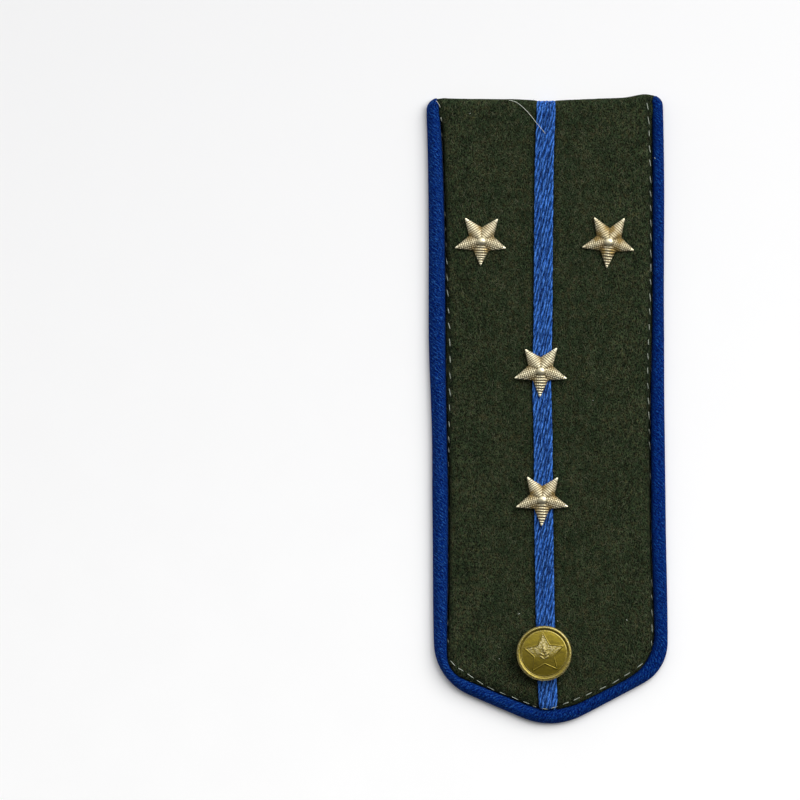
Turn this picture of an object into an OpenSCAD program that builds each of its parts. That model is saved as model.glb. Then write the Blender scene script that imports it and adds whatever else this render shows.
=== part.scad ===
// Shoulder board: a felt-covered panel edged with a roll of piping, with a woven stripe, four small stars
// and a shank button. It lies face up on its flat back, its folded end towards +Y and its point towards -Y.

/* [Board] */
// Length from the folded end to the point
board_length = 160; // [145:1:180]
// Width across the piping
board_width = 59.6; // [54:0.2:68]
// Thickness of the panel at its middle
panel_t = 3.6; // [2.8:0.1:5]
// Height lost from the middle of the panel to its long edges
panel_crown = 0.3; // [0:0.05:0.6]
// Radius of the corner left of the point
left_corner_r = 14.5; // [10:0.5:18]
// Radius of the corner right of the point
right_corner_r = 11.5; // [8:0.5:16]
// Radius of the point
point_r = 17.5; // [12:0.5:22]
// Height of the left corner's centre above the point
corner_up = 20.8; // [18:0.2:26]
// How far the right corner's centre lies below the left one's
right_corner_drop = 0.6; // [0:0.1:1.2]

/* [Felt] */
// Width over which the felt rolls down to its edge
felt_roll = 2.2; // [1.4:0.1:3]
// Height at which the felt meets the piping
seam_z = 1.6; // [1:0.1:2.2]
// How far the folded end tucks back at its underside
fold_tuck = 0.9; // [0.4:0.1:1.4]
// Dip in the line of the folded end
fold_dip = 1.3; // [0:0.1:2]

/* [Piping] */
// Usual width of the piping
piping_width = 3.4; // [2.8:0.1:4.2]
// Height of the piping
piping_t = 3; // [2.4:0.1:3.6]
// How far the piping's ends stay below the folded end
piping_drop = 0.3; // [0:0.1:1]
// Gap between the piping and the felt
seam_gap = 0.2; // [0.15:0.05:0.3]
// Radius of the seam at the left corner
seam_left_r = 6.5; // [4:0.5:9]
// Radius of the seam at the right corner
seam_right_r = 13; // [9:0.5:15]
// Radius of the seam at the point
seam_point_r = 17; // [12:0.5:20]

/* [Stripe] */
// Width of the woven stripe
stripe_width = 5; // [4:0.1:7]
// Thickness of the woven stripe
stripe_t = 0.8; // [0.5:0.05:1.2]
// How deep the stripe is drawn into the felt
stripe_press = 0.35; // [0.2:0.05:0.5]
// Width over which the felt dips down beside the stripe
press_edge = 0.3; // [0.2:0.05:0.6]
// Gap between pieces that lie on each other
lay_gap = 0.1; // [0.05:0.01:0.15]

/* [Stars] */
// Radius of a star's points
star_r = 6.95; // [5.5:0.05:8.5]
// Radius of the notches between a star's rays
star_notch_r = 3.3; // [2.8:0.05:3.8]
// Thickness of a star at its middle
star_t = 1.8; // [1.4:0.05:2.4]
// Thickness of a star at its points
star_tip_t = 0.75; // [0.6:0.05:1]
// Thickness of a star at its notches
star_notch_t = 0.6; // [0.45:0.05:0.8]
// Distance between the ribs of a ray
rib_pitch = 0.72; // [0.6:0.02:1]
// Depth of the grooves between the ribs
rib_depth = 0.16; // [0.06:0.02:0.24]
// Diameter of the polished boss in the middle
boss_d = 2.5; // [2:0.1:3]
// Height of the boss above the rays' middle
boss_rise = 0.1; // [0.05:0.05:0.3]
// Diameter of a star's post
star_post_d = 1.2; // [0.8:0.1:1.6]
// Height of the lowest star above the point
star_up = 56.8; // [45:0.2:60]
// Distance from one row of stars to the next
star_step = 33; // [26:0.2:34]
// Distance of the two side stars from the board's long edges
star_inset = 13.6; // [11:0.1:17]

/* [Button] */
// Diameter of the button
button_d = 14.1; // [12:0.1:16]
// Height of the button above what it sits on
button_t = 3.1; // [2.4:0.1:4]
// Width of the button's rim
rim_width = 1.1; // [0.8:0.05:1.4]
// Depth of the groove between the rim and the face
rim_depth = 0.55; // [0.35:0.05:0.8]
// Rise of the face from that groove to its middle
face_rise = 0.3; // [0.15:0.05:0.5]
// Radius of the points of the star on the button
relief_r = 5.2; // [4:0.05:5.3]
// Width of that star's raised outline
relief_line = 0.42; // [0.3:0.02:0.6]
// Height of the relief above the face
relief_t = 0.25; // [0.15:0.05:0.4]
// Diameter of the button's shank
shank_d = 2.6; // [2:0.1:3.4]
// Height of the button above the point
button_up = 17.7; // [16:0.1:24]

/* [Fits] */
// Play between a post and its hole
post_play = 0.1; // [0.05:0.01:0.2]
// Height of the post ends above the back
post_clear = 0.4; // [0.2:0.05:0.8]

/* [Hidden] */
$fn = 64;

half_w = board_width / 2;
point_y = -board_length / 2;
fold_y = board_length / 2;
corner_y = point_y + corner_up;

// The long edges in equal steps from the folded end to the corners.
// Columns: left edge and right edge (of half the width), left piping and right piping (of the piping's width)
SIDES = [
    [-1.010, 1.003, 0.88, 0.74],
    [-0.999, 1.007, 1.02, 0.78],
    [-0.997, 1.007, 1.09, 0.80],
    [-0.999, 1.001, 1.15, 0.79],
    [-1.004, 0.994, 1.19, 0.77],
    [-1.008, 0.993, 1.20, 0.85],
    [-0.995, 0.989, 1.09, 0.95],
    [-0.986, 0.990, 1.04, 0.98],
    [-0.991, 0.991, 1.14, 1.01],
    [-0.990, 0.991, 1.08, 1.02],
    [-0.993, 0.997, 1.05, 0.98],
    [-0.991, 0.998, 0.92, 0.93],
];

// The folded end in equal steps from left to right. Column: dip (of the fold's dip)
FOLD = [
    [0.28], [0.34], [0.48], [0.58], [0.62], [0.72], [0.95],
    [0.95], [0.78], [0.70], [0.62], [0.12], [0.20],
];

// The stripe in equal steps from the folded end to the point.
// Columns: middle (of half the width), width (of the stripe's width)
LINE = [
    [0.014, 1.04],
    [-0.008, 1.03],
    [-0.020, 1.02],
    [-0.029, 0.99],
    [-0.037, 1.01],
    [-0.052, 1.00],
    [-0.045, 0.98],
    [-0.048, 0.97],
    [-0.046, 0.99],
    [-0.043, 1.00],
    [-0.036, 1.01],
    [-0.022, 1.03],
];

// The piping's section from the foot of the seam, over the top, to the foot outside.
// Columns: out from the seam (of the local width), up (of the piping's height)
ROLL = [
    [0, 0], [0, 0.55], [0.07, 0.76], [0.20, 0.93], [0.40, 1], [0.60, 0.97],
    [0.78, 0.84], [0.92, 0.64], [1, 0.40], [0.97, 0.16], [0.86, 0],
];

// The stripe's section. Columns: out from its middle (of half its width), up (of its thickness)
WEAVE = [[-1, 0], [-1, 0.5], [-0.84, 0.94], [0, 1], [0.84, 0.94], [1, 0.5], [1, 0]];

// The stars' places. Columns: side of the stripe (0 on it), row counted from the lowest star
STAR_PLACES = [[-1, 2], [1, 2], [0, 1], [0, 0]];
// How far each star was fitted off its place. Columns: across and up (of its radius), degrees clockwise
STARS = [[-0.055, 0.05, 1.6], [-0.05, -0.02, 4], [-0.047, 0.02, 0.4], [-0.047, 0.05, 1.2]];
// The same for the button. Columns: across and up (of its diameter), degrees anticlockwise
BUTTON_FIT = [-0.04, 0.01, 3];

// The button's back. Columns: out (of its radius), up (of its height)
BACK = [[0, 0], [0.55, 0], [0.9, 0.25], [0.98, 0.42]];
// The button's face. Columns: out (of the face's radius), up (of the face's rise)
FACE = [[1, 0], [0.66, 0.6], [0.33, 0.9], [0, 1]];
// Height of the middle of the rim's bead, as a share of the button's height
RIM_AT = 0.8;
// The sprig on the button. Columns: degrees anticlockwise, foot, length and width of a leaf (of its radius)
SPRIG = [
    [0, 0, 1, 0.45],
    [55, -0.75, 0.8, 0.36],
    [-55, -0.75, 0.8, 0.36],
    [55, -0.3, 0.8, 0.36],
    [-55, -0.3, 0.8, 0.36],
];
// Radius of the sprig, as a share of the raised star's
SPRIG_R = 0.3;
// A five-pointed outline's notches, as a share of its radius, and how far its edges lie from its middle
OUTLINE_NOTCH = 0.5;
OUTLINE_SLANT = OUTLINE_NOTCH * sin(36) / norm([cos(36) * OUTLINE_NOTCH - 1, sin(36) * OUTLINE_NOTCH]);
// How blunt the points of the gilt stars are, as a share of the notches' width
BLUNT = 0.04;

// Width of the piping along the slopes and at the point, as shares of its usual width
PIPING_AT_LEFT_SLOPE = 0.87;
PIPING_AT_RIGHT_SLOPE = 0.79;
PIPING_AT_POINT = 0.99;
// How far the point lies to the left, as a share of half the width
POINT_SHIFT = 0.003;
// How far the ends of the piping turn round the corner, in degrees
END_TURN = 85;

// Shares of the felt's roll at which its grid has a row or a column
ROLL_STEPS = [0, 0.06, 0.32, 1];
// How far down the sides the tuck of the folded end fades out, in widths of that roll
TUCK_REACH = 3;
// Shares of the tuck at which the underside has a ring, and where the stripe's end lies under it
TUCK_STEPS = [0.55, 1];
STRIPE_TUCK = 0.6;
PANEL_ROWS = 30;
PANEL_COLUMNS = 4;
SIDE_STEPS = 16;
CORNER_STEPS = 7;
SLOPE_STEPS = 3;
END_STEPS = 5;
STRIPE_STEPS = 26;

function clamp(v, low, high) = max(low, min(high, v));
function mix(a, b, f) = a + (b - a) * f;

// A column of a table as one smooth curve through its equally spaced rows, for f from 0 to 1
function curve(table, column, f) =
    let (
        last = len(table) - 1,
        at = clamp(f, 0, 1) * last,
        i = min(last - 1, floor(at)),
        t = at - i,
        a = table[max(0, i - 1)][column],
        b = table[i][column],
        c = table[i + 1][column],
        d = table[min(last, i + 2)][column]
    )
    b + t / 2 * (c - a + t * (2 * a - 5 * b + 4 * c - d + t * (3 * (b - c) + d - a)));

// The long edges and the seams beside them
function side_share(y) = (fold_y - y) / (fold_y - corner_y);
function edge_x(y, side) = half_w * curve(SIDES, side > 0 ? 1 : 0, side_share(y));
function seam_x(y, side) =
    edge_x(y, side) - side * piping_width * curve(SIDES, side > 0 ? 3 : 2, side_share(y));

// The pointed end is a chain of three circles [x, y, r] joined by their lower tangents
function tangent_angle(a, b) =
    let (d = [b.x - a.x, b.y - a.y]) atan2(d.y, d.x) - acos((a.z - b.z) / norm(d));
function on_circle(c, angle, inset = 0) = [c.x, c.y] + (c.z - inset) * [cos(angle), sin(angle)];

EDGE_CIRCLES = [
    [edge_x(corner_y, -1) + left_corner_r, corner_y, left_corner_r],
    [-POINT_SHIFT * half_w, point_y + point_r, point_r],
    [edge_x(corner_y, 1) - right_corner_r, corner_y - right_corner_drop, right_corner_r],
];

// A seam circle of radius r beside the side line, width w inside the slope under edge circles a and b
function seam_circle(side, r, w, a, b) =
    let (
        angle = tangent_angle(a, b),
        reach = a.x * cos(angle) + a.y * sin(angle) + a.z,
        x = seam_x(corner_y, side) - side * r
    )
    [x, (reach - w - r - x * cos(angle)) / sin(angle), r];

SEAM_CIRCLES = [
    seam_circle(-1, seam_left_r, PIPING_AT_LEFT_SLOPE * piping_width, EDGE_CIRCLES[0], EDGE_CIRCLES[1]),
    [POINT_SHIFT * half_w, point_y + PIPING_AT_POINT * piping_width + seam_point_r, seam_point_r],
    seam_circle(1, seam_right_r, PIPING_AT_RIGHT_SLOPE * piping_width, EDGE_CIRCLES[1], EDGE_CIRCLES[2]),
];

// The bearings at which a chain's three arcs begin and end
function bearings(c) = [180, tangent_angle(c[0], c[1]) + 360, tangent_angle(c[1], c[2]) + 360, 360];
SEAM_BEARINGS = bearings(SEAM_CIRCLES);

// Where the felt's side ends and its lower edge begins, halfway round each corner
function felt_turn(side) =
    let (i = side > 0 ? 2 : 0)
    on_circle(SEAM_CIRCLES[i], (SEAM_BEARINGS[i] + SEAM_BEARINGS[i + 1]) / 2, seam_gap);
FELT_TURNS = [felt_turn(-1), felt_turn(1)];

// The felt's outline: its sides as x for a height, its two ends as y for a place across
function felt_x(y, side) =
    let (c = SEAM_CIRCLES[side > 0 ? 2 : 0], r = c.z - seam_gap, low = max(y, FELT_TURNS[side > 0 ? 1 : 0].y))
    y > c.y ? seam_x(y, side) - side * seam_gap : c.x + side * sqrt(r * r - pow(low - c.y, 2));

function slope_y(x, i) =
    let (p = on_circle(SEAM_CIRCLES[i], SEAM_BEARINGS[i + 1], seam_gap), angle = SEAM_BEARINGS[i + 1])
    p.y - (x - p.x) / tan(angle);
function arc_y(x, i) =
    let (c = SEAM_CIRCLES[i], r = c.z - seam_gap) c.y - sqrt(max(0, r * r - pow(x - c.x, 2)));
function foot_x(i, bearing) = on_circle(SEAM_CIRCLES[i], bearing, seam_gap).x;
function low_y(x) =
    x < foot_x(0, SEAM_BEARINGS[1]) ? arc_y(x, 0)
    : x < foot_x(1, SEAM_BEARINGS[1]) ? slope_y(x, 0)
    : x < foot_x(1, SEAM_BEARINGS[2]) ? arc_y(x, 1)
    : x < foot_x(2, SEAM_BEARINGS[2]) ? slope_y(x, 1)
    : arc_y(x, 2);

// The stripe's middle and half its width
function stripe_share(y) = (fold_y - y) / board_length;
function stripe_x(y) = half_w * curve(LINE, 0, stripe_share(y));
function stripe_half(y) = stripe_width / 2 * curve(LINE, 1, stripe_share(y));
STRIPE_ROOM = stripe_t + lay_gap;

// The line of the folded end, pressed in under the stripe
function fold_line(x) = fold_y - fold_dip * curve(FOLD, 0, (x / half_w + 1) / 2);
function beside_stripe(x, y) = clamp((abs(x - stripe_x(y)) - stripe_half(y)) / press_edge, 0, 1);
function top_y(x, y) = mix(fold_line(stripe_x(fold_y)) - STRIPE_ROOM, fold_line(x), beside_stripe(x, y));

// Height of the felt's face
function rolled(d) = d >= felt_roll ? 1 : sqrt(max(0, 1 - pow(1 - max(0, d) / felt_roll, 2)));
function flat_z(x, y) = panel_t - panel_crown * pow(x / half_w, 2) - stripe_press * (1 - beside_stripe(x, y));
function felt_z(x, y) =
    let (
        side = min(x - felt_x(y, -1), felt_x(y, 1) - x),
        end = min(top_y(x, y) - y, y - low_y(x))
    )
    seam_z + (flat_z(x, y) - seam_z) * rolled(side) * rolled(end);

// Grid columns of the felt: roll, field, stripe, field, roll
function felt_columns(y) =
    let (
        left = felt_x(y, -1),
        right = felt_x(y, 1),
        mid = stripe_x(y),
        half = stripe_half(y),
        from = left + felt_roll,
        to = right - felt_roll
    )
    concat(
        [for (s = ROLL_STEPS) left + s * felt_roll],
        [for (i = [1:PANEL_COLUMNS - 1]) mix(from, mid - half - press_edge, i / PANEL_COLUMNS)],
        [mid - half - press_edge, mid - half, mid, mid + half, mid + half + press_edge],
        [for (i = [1:PANEL_COLUMNS - 1]) mix(mid + half + press_edge, to, i / PANEL_COLUMNS)],
        [for (i = [len(ROLL_STEPS) - 1:-1:0]) right - ROLL_STEPS[i] * felt_roll]
    );

TOP_COLUMNS = felt_columns(fold_y);
LOW_COLUMNS = felt_columns(point_y);

// Heights of one grid column from the folded end down to the lower edge
function felt_rows(i) =
    let (
        top = top_y(TOP_COLUMNS[i], fold_y),
        low = i == 0 ? FELT_TURNS[0].y : i == len(LOW_COLUMNS) - 1 ? FELT_TURNS[1].y : low_y(LOW_COLUMNS[i])
    )
    concat(
        [for (s = ROLL_STEPS) top - s * felt_roll],
        [for (j = [1:PANEL_ROWS - 1]) mix(top - felt_roll, low + felt_roll, j / PANEL_ROWS)],
        [for (k = [len(ROLL_STEPS) - 1:-1:0]) low + ROLL_STEPS[k] * felt_roll]
    );

// A point of the folded end's underside, drawn back by a share of the tuck
function tucked(p, share) =
    let (near = clamp(1 - (top_y(p.x, p.y) - p.y) / (TUCK_REACH * felt_roll), 0, 1))
    [p.x, p.y - fold_tuck * share * near, seam_z * (1 - share)];

// Faces that join two rows of a grid, or two rings when closed
function band(a, b, closed = false) =
    let (n = len(a))
    [
        for (i = [0:n - (closed ? 1 : 2)])
            let (j = (i + 1) % n)
            each [[a[i], a[j], b[j]], [a[i], b[j], b[i]]]
    ];

// A solid swept through a list of closed sections that have as many points each
module swept(sections) {
    n = len(sections[0]);
    last = len(sections) - 1;
    ring = [for (k = [0:last]) [for (i = [0:n - 1]) k * n + i]];
    polyhedron(
        points = [for (s = sections) each s],
        faces = concat(
            [for (k = [0:last - 1]) each band(ring[k + 1], ring[k], true)],
            [for (i = [1:n - 2]) [ring[0][0], ring[0][i], ring[0][i + 1]]],
            [for (i = [1:n - 2]) [ring[last][0], ring[last][i + 1], ring[last][i]]]
        )
    );
}

module felt_body() {
    columns = [for (i = [0:len(TOP_COLUMNS) - 1]) felt_rows(i)];
    across = len(columns);
    along = len(columns[0]);
    grid = [
        for (i = [0:across - 1])
            for (y = columns[i])
                let (x = felt_columns(y)[i]) [x, y, felt_z(x, y)]
    ];
    column = function (i) [for (j = [0:along - 1]) i * along + j];
    rim = concat(
        [for (i = [0:across - 1]) i * along],
        [for (j = [1:along - 1]) (across - 1) * along + j],
        [for (i = [across - 2:-1:0]) i * along + along - 1],
        [for (j = [along - 2:-1:1]) j]
    );
    count = len(rim);
    walls = [for (share = TUCK_STEPS) for (k = rim) tucked(grid[k], share)];
    ring = [for (m = [0:1]) [for (i = [0:count - 1]) len(grid) + m * count + i]];
    middle = len(grid) + 2 * count;
    polyhedron(
        points = concat(grid, walls, [[0, 0, 0]]),
        faces = concat(
            [for (i = [0:across - 2]) each band(column(i + 1), column(i))],
            band(ring[0], rim, true),
            band(ring[1], ring[0], true),
            [for (i = [0:count - 1]) [middle, ring[1][(i + 1) % count], ring[1][i]]]
        )
    );
}

// Pairs of points [seam, edge] along the piping, from its left end round the point to its right end
function side_pair(side, f) =
    let (
        c = side > 0 ? 2 : 0,
        top = fold_line(side * half_w) - piping_drop - abs(edge_x(fold_y, side) - seam_x(fold_y, side)),
        ys = mix(top, SEAM_CIRCLES[c].y, f),
        ye = mix(top, EDGE_CIRCLES[c].y, f)
    )
    [[seam_x(ys, side), ys], [edge_x(ye, side), ye]];
function end_pair(side, f) =
    let (
        base = side_pair(side, 0),
        w = abs(base[1].x - base[0].x),
        angle = END_TURN * f
    )
    [
        [base[0].x, base[0].y + w / 3 * f],
        [base[0].x + side * w * cos(angle), base[0].y + w * sin(angle)],
    ];
function arc_pair(i, f) =
    let (eb = bearings(EDGE_CIRCLES))
    [
        on_circle(SEAM_CIRCLES[i], mix(SEAM_BEARINGS[i], SEAM_BEARINGS[i + 1], f)),
        on_circle(EDGE_CIRCLES[i], mix(eb[i], eb[i + 1], f)),
    ];
function slope_pair(i, f) = mix(arc_pair(i, 1), arc_pair(i + 1, 0), f);

PAIRS = concat(
    [for (i = [END_STEPS:-1:1]) end_pair(-1, i / END_STEPS)],
    [for (i = [0:SIDE_STEPS - 1]) side_pair(-1, i / SIDE_STEPS)],
    [for (i = [0:CORNER_STEPS]) arc_pair(0, i / CORNER_STEPS)],
    [for (i = [1:SLOPE_STEPS - 1]) slope_pair(0, i / SLOPE_STEPS)],
    [for (i = [0:CORNER_STEPS]) arc_pair(1, i / CORNER_STEPS)],
    [for (i = [1:SLOPE_STEPS - 1]) slope_pair(1, i / SLOPE_STEPS)],
    [for (i = [0:CORNER_STEPS]) arc_pair(2, i / CORNER_STEPS)],
    [for (i = [SIDE_STEPS - 1:-1:0]) side_pair(1, i / SIDE_STEPS)],
    [for (i = [1:END_STEPS]) end_pair(1, i / END_STEPS)]
);

// The stripe's stations from the point, over the panel and round the folded end.
// Columns: y and z on the felt, direction out of the felt in y and z, thickness (of the stripe's)
STRIPE_TOP_Y = fold_line(stripe_x(fold_y)) - STRIPE_ROOM;
STRIPE_LOW_Y = low_y(stripe_x(point_y));
STRIPE_RISE = panel_t - stripe_press - seam_z;
LOW_ROLL = [[38, 0.4], [52, 0.75], [70, 1]];
TOP_ROLL = [68, 45, 22, 0];
STATIONS = concat(
    [
        for (e = LOW_ROLL)
            let (a = e[0])
            [STRIPE_LOW_Y + felt_roll * (1 - cos(a)), seam_z + STRIPE_RISE * sin(a), -cos(a), sin(a), e[1]]
    ],
    [
        for (i = [0:STRIPE_STEPS])
            let (y = mix(STRIPE_LOW_Y + felt_roll, STRIPE_TOP_Y - felt_roll, i / STRIPE_STEPS))
            [y, seam_z + STRIPE_RISE, 0, 1, 1]
    ],
    [
        for (a = TOP_ROLL)
            [STRIPE_TOP_Y - felt_roll * (1 - cos(a)), seam_z + STRIPE_RISE * sin(a), cos(a), sin(a), 1]
    ],
    [[STRIPE_TOP_Y, seam_z / 2, 1, 0, 1], [STRIPE_TOP_Y - fold_tuck * STRIPE_TUCK, 2 * lay_gap, 1, 0, 1]]
);

module panel() {
    color([0.17, 0.19, 0.13])
    difference() {
        felt_body();
        post_holes();
    }
}

module piping() {
    color([0.02, 0.2, 0.58])
    swept([
        for (p = PAIRS)
            [for (r = ROLL) let (at = mix(p[0], p[1], r[0])) [at.x, at.y, piping_t * r[1]]]
    ]);
}

module stripe() {
    color([0.16, 0.36, 0.76])
    difference() {
        swept([
            for (t = STATIONS)
                [
                    for (w = WEAVE)
                        let (
                            up = lay_gap + stripe_t * t[4] * w[1],
                            y = t[0] + up * t[2]
                        )
                        [stripe_x(y) + w[0] * (stripe_half(y) - lay_gap), y, t[1] + up * t[3]]
                ]
        ]);
        post_holes();
    }
}

// Where the stars and the button sit
function star_xy(i) =
    [
        STAR_PLACES[i].x == 0
            ? stripe_x(point_y + star_up + STAR_PLACES[i].y * star_step)
            : STAR_PLACES[i].x * (half_w - star_inset),
        point_y + star_up + STAR_PLACES[i].y * star_step,
    ] + star_r * [STARS[i].x, STARS[i].y];
STRIPE_TOP = panel_t - stripe_press + lay_gap + stripe_t;
function star_seat(i) =
    let (p = star_xy(i))
    lay_gap + (STAR_PLACES[i].x == 0 ? STRIPE_TOP : max([for (s = [-1, 1]) flat_z(p.x + s * star_r, p.y)]));
BUTTON_XY = [stripe_x(point_y + button_up), point_y + button_up] + button_d * [BUTTON_FIT.x, BUTTON_FIT.y];
BUTTON_SEAT = STRIPE_TOP + lay_gap;

// Holes for the four star posts and the button's shank
module post_holes() {
    for (i = [0:3])
        translate([star_xy(i).x, star_xy(i).y, -post_clear])
            cylinder(h = STRIPE_TOP + 2 * post_clear, d = star_post_d + 2 * post_play);
    translate([BUTTON_XY.x, BUTTON_XY.y, -post_clear])
        cylinder(h = STRIPE_TOP + 2 * post_clear, d = shank_d + 2 * post_play);
}

// Half a ray is a fan of stations along its ridge; each station has a ridge point and an edge point
RIB_COUNT = floor((star_r - boss_d / 2) / rib_pitch * 2);
function rib_x(k) = star_r - (RIB_COUNT - k) * rib_pitch / 2;
NOTCH = star_notch_r * [cos(36), sin(36)];
function edge_half(x) =
    x <= NOTCH.x ? x * tan(36) : NOTCH.y * max(BLUNT, (star_r - x) / (star_r - NOTCH.x));
function rib_cut(k) = k % 2 == 1 && k < RIB_COUNT ? rib_depth : 0;
function ridge_z(k) = mix(star_t, star_tip_t, rib_x(k) / star_r) - rib_cut(k);
function flank_z(k) =
    let (x = rib_x(k))
    (x <= NOTCH.x
        ? mix(star_t, star_notch_t, x / NOTCH.x)
        : mix(star_notch_t, star_tip_t, (x - NOTCH.x) / (star_r - NOTCH.x)))
    - rib_cut(k) * min(1, x / NOTCH.x);

// One ray as a closed body from the star's axis to its point, between its two valleys
module star_body() {
    shared = len([for (k = [0:RIB_COUNT]) if (rib_x(k) <= NOTCH.x) k]);
    open = RIB_COUNT + 1 - shared;
    turned = function (p, i) [
        p[0] * cos(72 * i - 90) - p[1] * sin(72 * i - 90),
        p[0] * sin(72 * i - 90) + p[1] * cos(72 * i - 90),
        p[2]
    ];
    flank = function (k, s) [rib_x(k), s * edge_half(rib_x(k)), flank_z(k)];
    ridges = [for (i = [0:4]) for (k = [0:RIB_COUNT]) turned([rib_x(k), 0, ridge_z(k)], i)];
    valleys = [for (i = [0:4]) for (k = [0:shared - 1]) turned(flank(k, 1), i)];
    notches = [for (i = [0:4]) turned([NOTCH.x, NOTCH.y, star_notch_t], i)];
    rights = [for (i = [0:4]) for (k = [shared:RIB_COUNT]) turned(flank(k, 1), i)];
    lefts = [for (i = [0:4]) for (k = [shared:RIB_COUNT]) turned(flank(k, -1), i)];
    at_valley = len(ridges);
    at_notch = at_valley + len(valleys);
    at_right = at_notch + 5;
    at_left = at_right + len(rights);
    at_hub = at_left + len(lefts);
    ridge = function (i) [for (k = [0:RIB_COUNT]) i * (RIB_COUNT + 1) + k];
    valley = function (i) [for (k = [0:shared - 1]) at_valley + (i % 5) * shared + k];
    right = function (i) concat([at_notch + i], [for (k = [0:open - 1]) at_right + i * open + k]);
    left = function (i) concat([at_notch + (i + 4) % 5], [for (k = [0:open - 1]) at_left + i * open + k]);
    rim = [for (i = [0:4]) each concat(left(i), [ridge(i)[RIB_COUNT]], [for (k = [open:-1:1]) right(i)[k]])];
    tops = concat(ridges, valleys, notches, rights, lefts, [[0, 0, star_t]]);
    count = len(rim);
    foot = [for (i = [0:count - 1]) len(tops) + i];
    hub_low = len(tops) + count;
    flip = function (faces) [for (f = faces) [f[0], f[2], f[1]]];
    polyhedron(
        points = concat(tops, [for (k = rim) [tops[k].x, tops[k].y, 0]], [[0, 0, 0]]),
        faces = concat(
            [
                for (i = [0:4])
                    let (
                        r = ridge(i),
                        inner = [for (k = [0:shared - 1]) r[k]],
                        outer = [for (k = [shared:RIB_COUNT]) r[k]],
                        rv = valley(i),
                        lv = valley(i + 4),
                        re = right(i),
                        le = left(i),
                        at = r[shared - 1]
                    )
                    each concat(
                        band(rv, inner),
                        flip(band(lv, inner)),
                        [[at_hub, rv[0], r[0]], [at_hub, r[0], lv[0]]],
                        [[at, rv[shared - 1], re[0]], [at, re[1], r[shared]], [at, re[0], re[1]]],
                        [[at, le[0], lv[shared - 1]], [at, r[shared], le[1]], [at, le[1], le[0]]],
                        band([for (k = [1:open]) re[k]], outer),
                        flip(band([for (k = [1:open]) le[k]], outer))
                    )
            ],
            band(rim, foot, true),
            [for (i = [0:count - 1]) [hub_low, foot[i], foot[(i + 1) % count]]]
        )
    );
}

module star(i) {
    p = star_xy(i);
    seat = star_seat(i);
    translate([p.x, p.y, seat]) {
        rotate(-STARS[i].z) star_body();
        translate([0, 0, star_t / 2]) cylinder(h = star_t / 2 + boss_rise, d = boss_d);
        translate([0, 0, post_clear - seat]) cylinder(h = seat - post_clear + star_t / 2, d = star_post_d);
    }
}

module star_1() { color([0.8, 0.72, 0.5]) star(0); }
module star_2() { color([0.8, 0.72, 0.5]) star(1); }
module star_3() { color([0.8, 0.72, 0.5]) star(2); }
module star_4() { color([0.8, 0.72, 0.5]) star(3); }

module star_outline(r) {
    polygon([for (i = [0:9]) (i % 2 == 0 ? r : r * OUTLINE_NOTCH) * [sin(36 * i), cos(36 * i)]]);
}

// A leaf between two arcs, from the origin along +Y
module leaf(length, width) {
    r = (length * length / 4 + width * width / 4) / width;
    translate([0, length / 2])
        intersection() {
            translate([r - width / 2, 0]) circle(r);
            translate([width / 2 - r, 0]) circle(r);
        }
}

module sprig(r) {
    translate([-relief_line / 4, -r]) square([relief_line / 2, r]);
    for (p = SPRIG)
        translate([0, p[1] * r]) rotate(p[0]) leaf(r * p[2], r * p[3]);
}

module button() {
    r = button_d / 2;
    face_r = r - rim_width;
    face_z = button_t - rim_depth;
    color([0.47, 0.42, 0.14])
    translate([BUTTON_XY.x, BUTTON_XY.y, BUTTON_SEAT]) {
        rotate_extrude()
            polygon(concat(
                [for (p = BACK) [r * p[0], button_t * p[1]]],
                [
                    for (a = [0:15:165])
                        [r - rim_width / 2 * (1 - cos(a)), button_t * (RIM_AT + (1 - RIM_AT) * sin(a))]
                ],
                [for (p = FACE) [face_r * p[0], face_z + face_rise * p[1]]]
            ));
        rotate(BUTTON_FIT.z)
            translate([0, 0, face_z / 2])
                linear_extrude(face_z / 2 + face_rise + relief_t) {
                    difference() {
                        star_outline(relief_r);
                        star_outline(relief_r - relief_line / OUTLINE_SLANT);
                    }
                    sprig(relief_r * SPRIG_R);
                }
        translate([0, 0, post_clear - BUTTON_SEAT])
            cylinder(h = BUTTON_SEAT - post_clear + button_t / 2, d = shank_d);
    }
}

panel();
piping();
stripe();
star_1();
star_2();
star_3();
star_4();
button();
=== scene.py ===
import math
import random

import bmesh
import bpy
from mathutils import Euler, Matrix, Vector, noise
from mathutils.bvhtree import BVHTree
from mathutils.kdtree import KDTree


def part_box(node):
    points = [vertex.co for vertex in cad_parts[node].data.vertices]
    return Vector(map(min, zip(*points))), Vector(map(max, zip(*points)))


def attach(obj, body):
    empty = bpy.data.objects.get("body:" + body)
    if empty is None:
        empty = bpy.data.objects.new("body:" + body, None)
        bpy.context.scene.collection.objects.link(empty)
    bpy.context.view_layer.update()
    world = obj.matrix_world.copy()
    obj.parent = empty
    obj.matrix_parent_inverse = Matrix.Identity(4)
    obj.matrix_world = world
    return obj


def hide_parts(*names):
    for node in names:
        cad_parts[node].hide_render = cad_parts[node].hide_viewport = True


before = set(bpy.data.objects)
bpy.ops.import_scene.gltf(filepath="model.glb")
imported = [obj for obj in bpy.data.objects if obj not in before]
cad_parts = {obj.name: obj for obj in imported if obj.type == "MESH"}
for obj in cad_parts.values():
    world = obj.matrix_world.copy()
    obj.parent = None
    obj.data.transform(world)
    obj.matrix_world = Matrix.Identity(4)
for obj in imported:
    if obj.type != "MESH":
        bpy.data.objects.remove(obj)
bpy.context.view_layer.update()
mm = 0.001
# A point of the picture, in pixels, and how far it lies above the board's middle; then the board's
# turn there, and the width of a pixel in mm
picture = {"across": 548.1, "down": 408, "above": 0.9, "turn": 0.01027, "pitch": 0.2548}
random.seed(11)
print("frame loaded")


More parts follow.
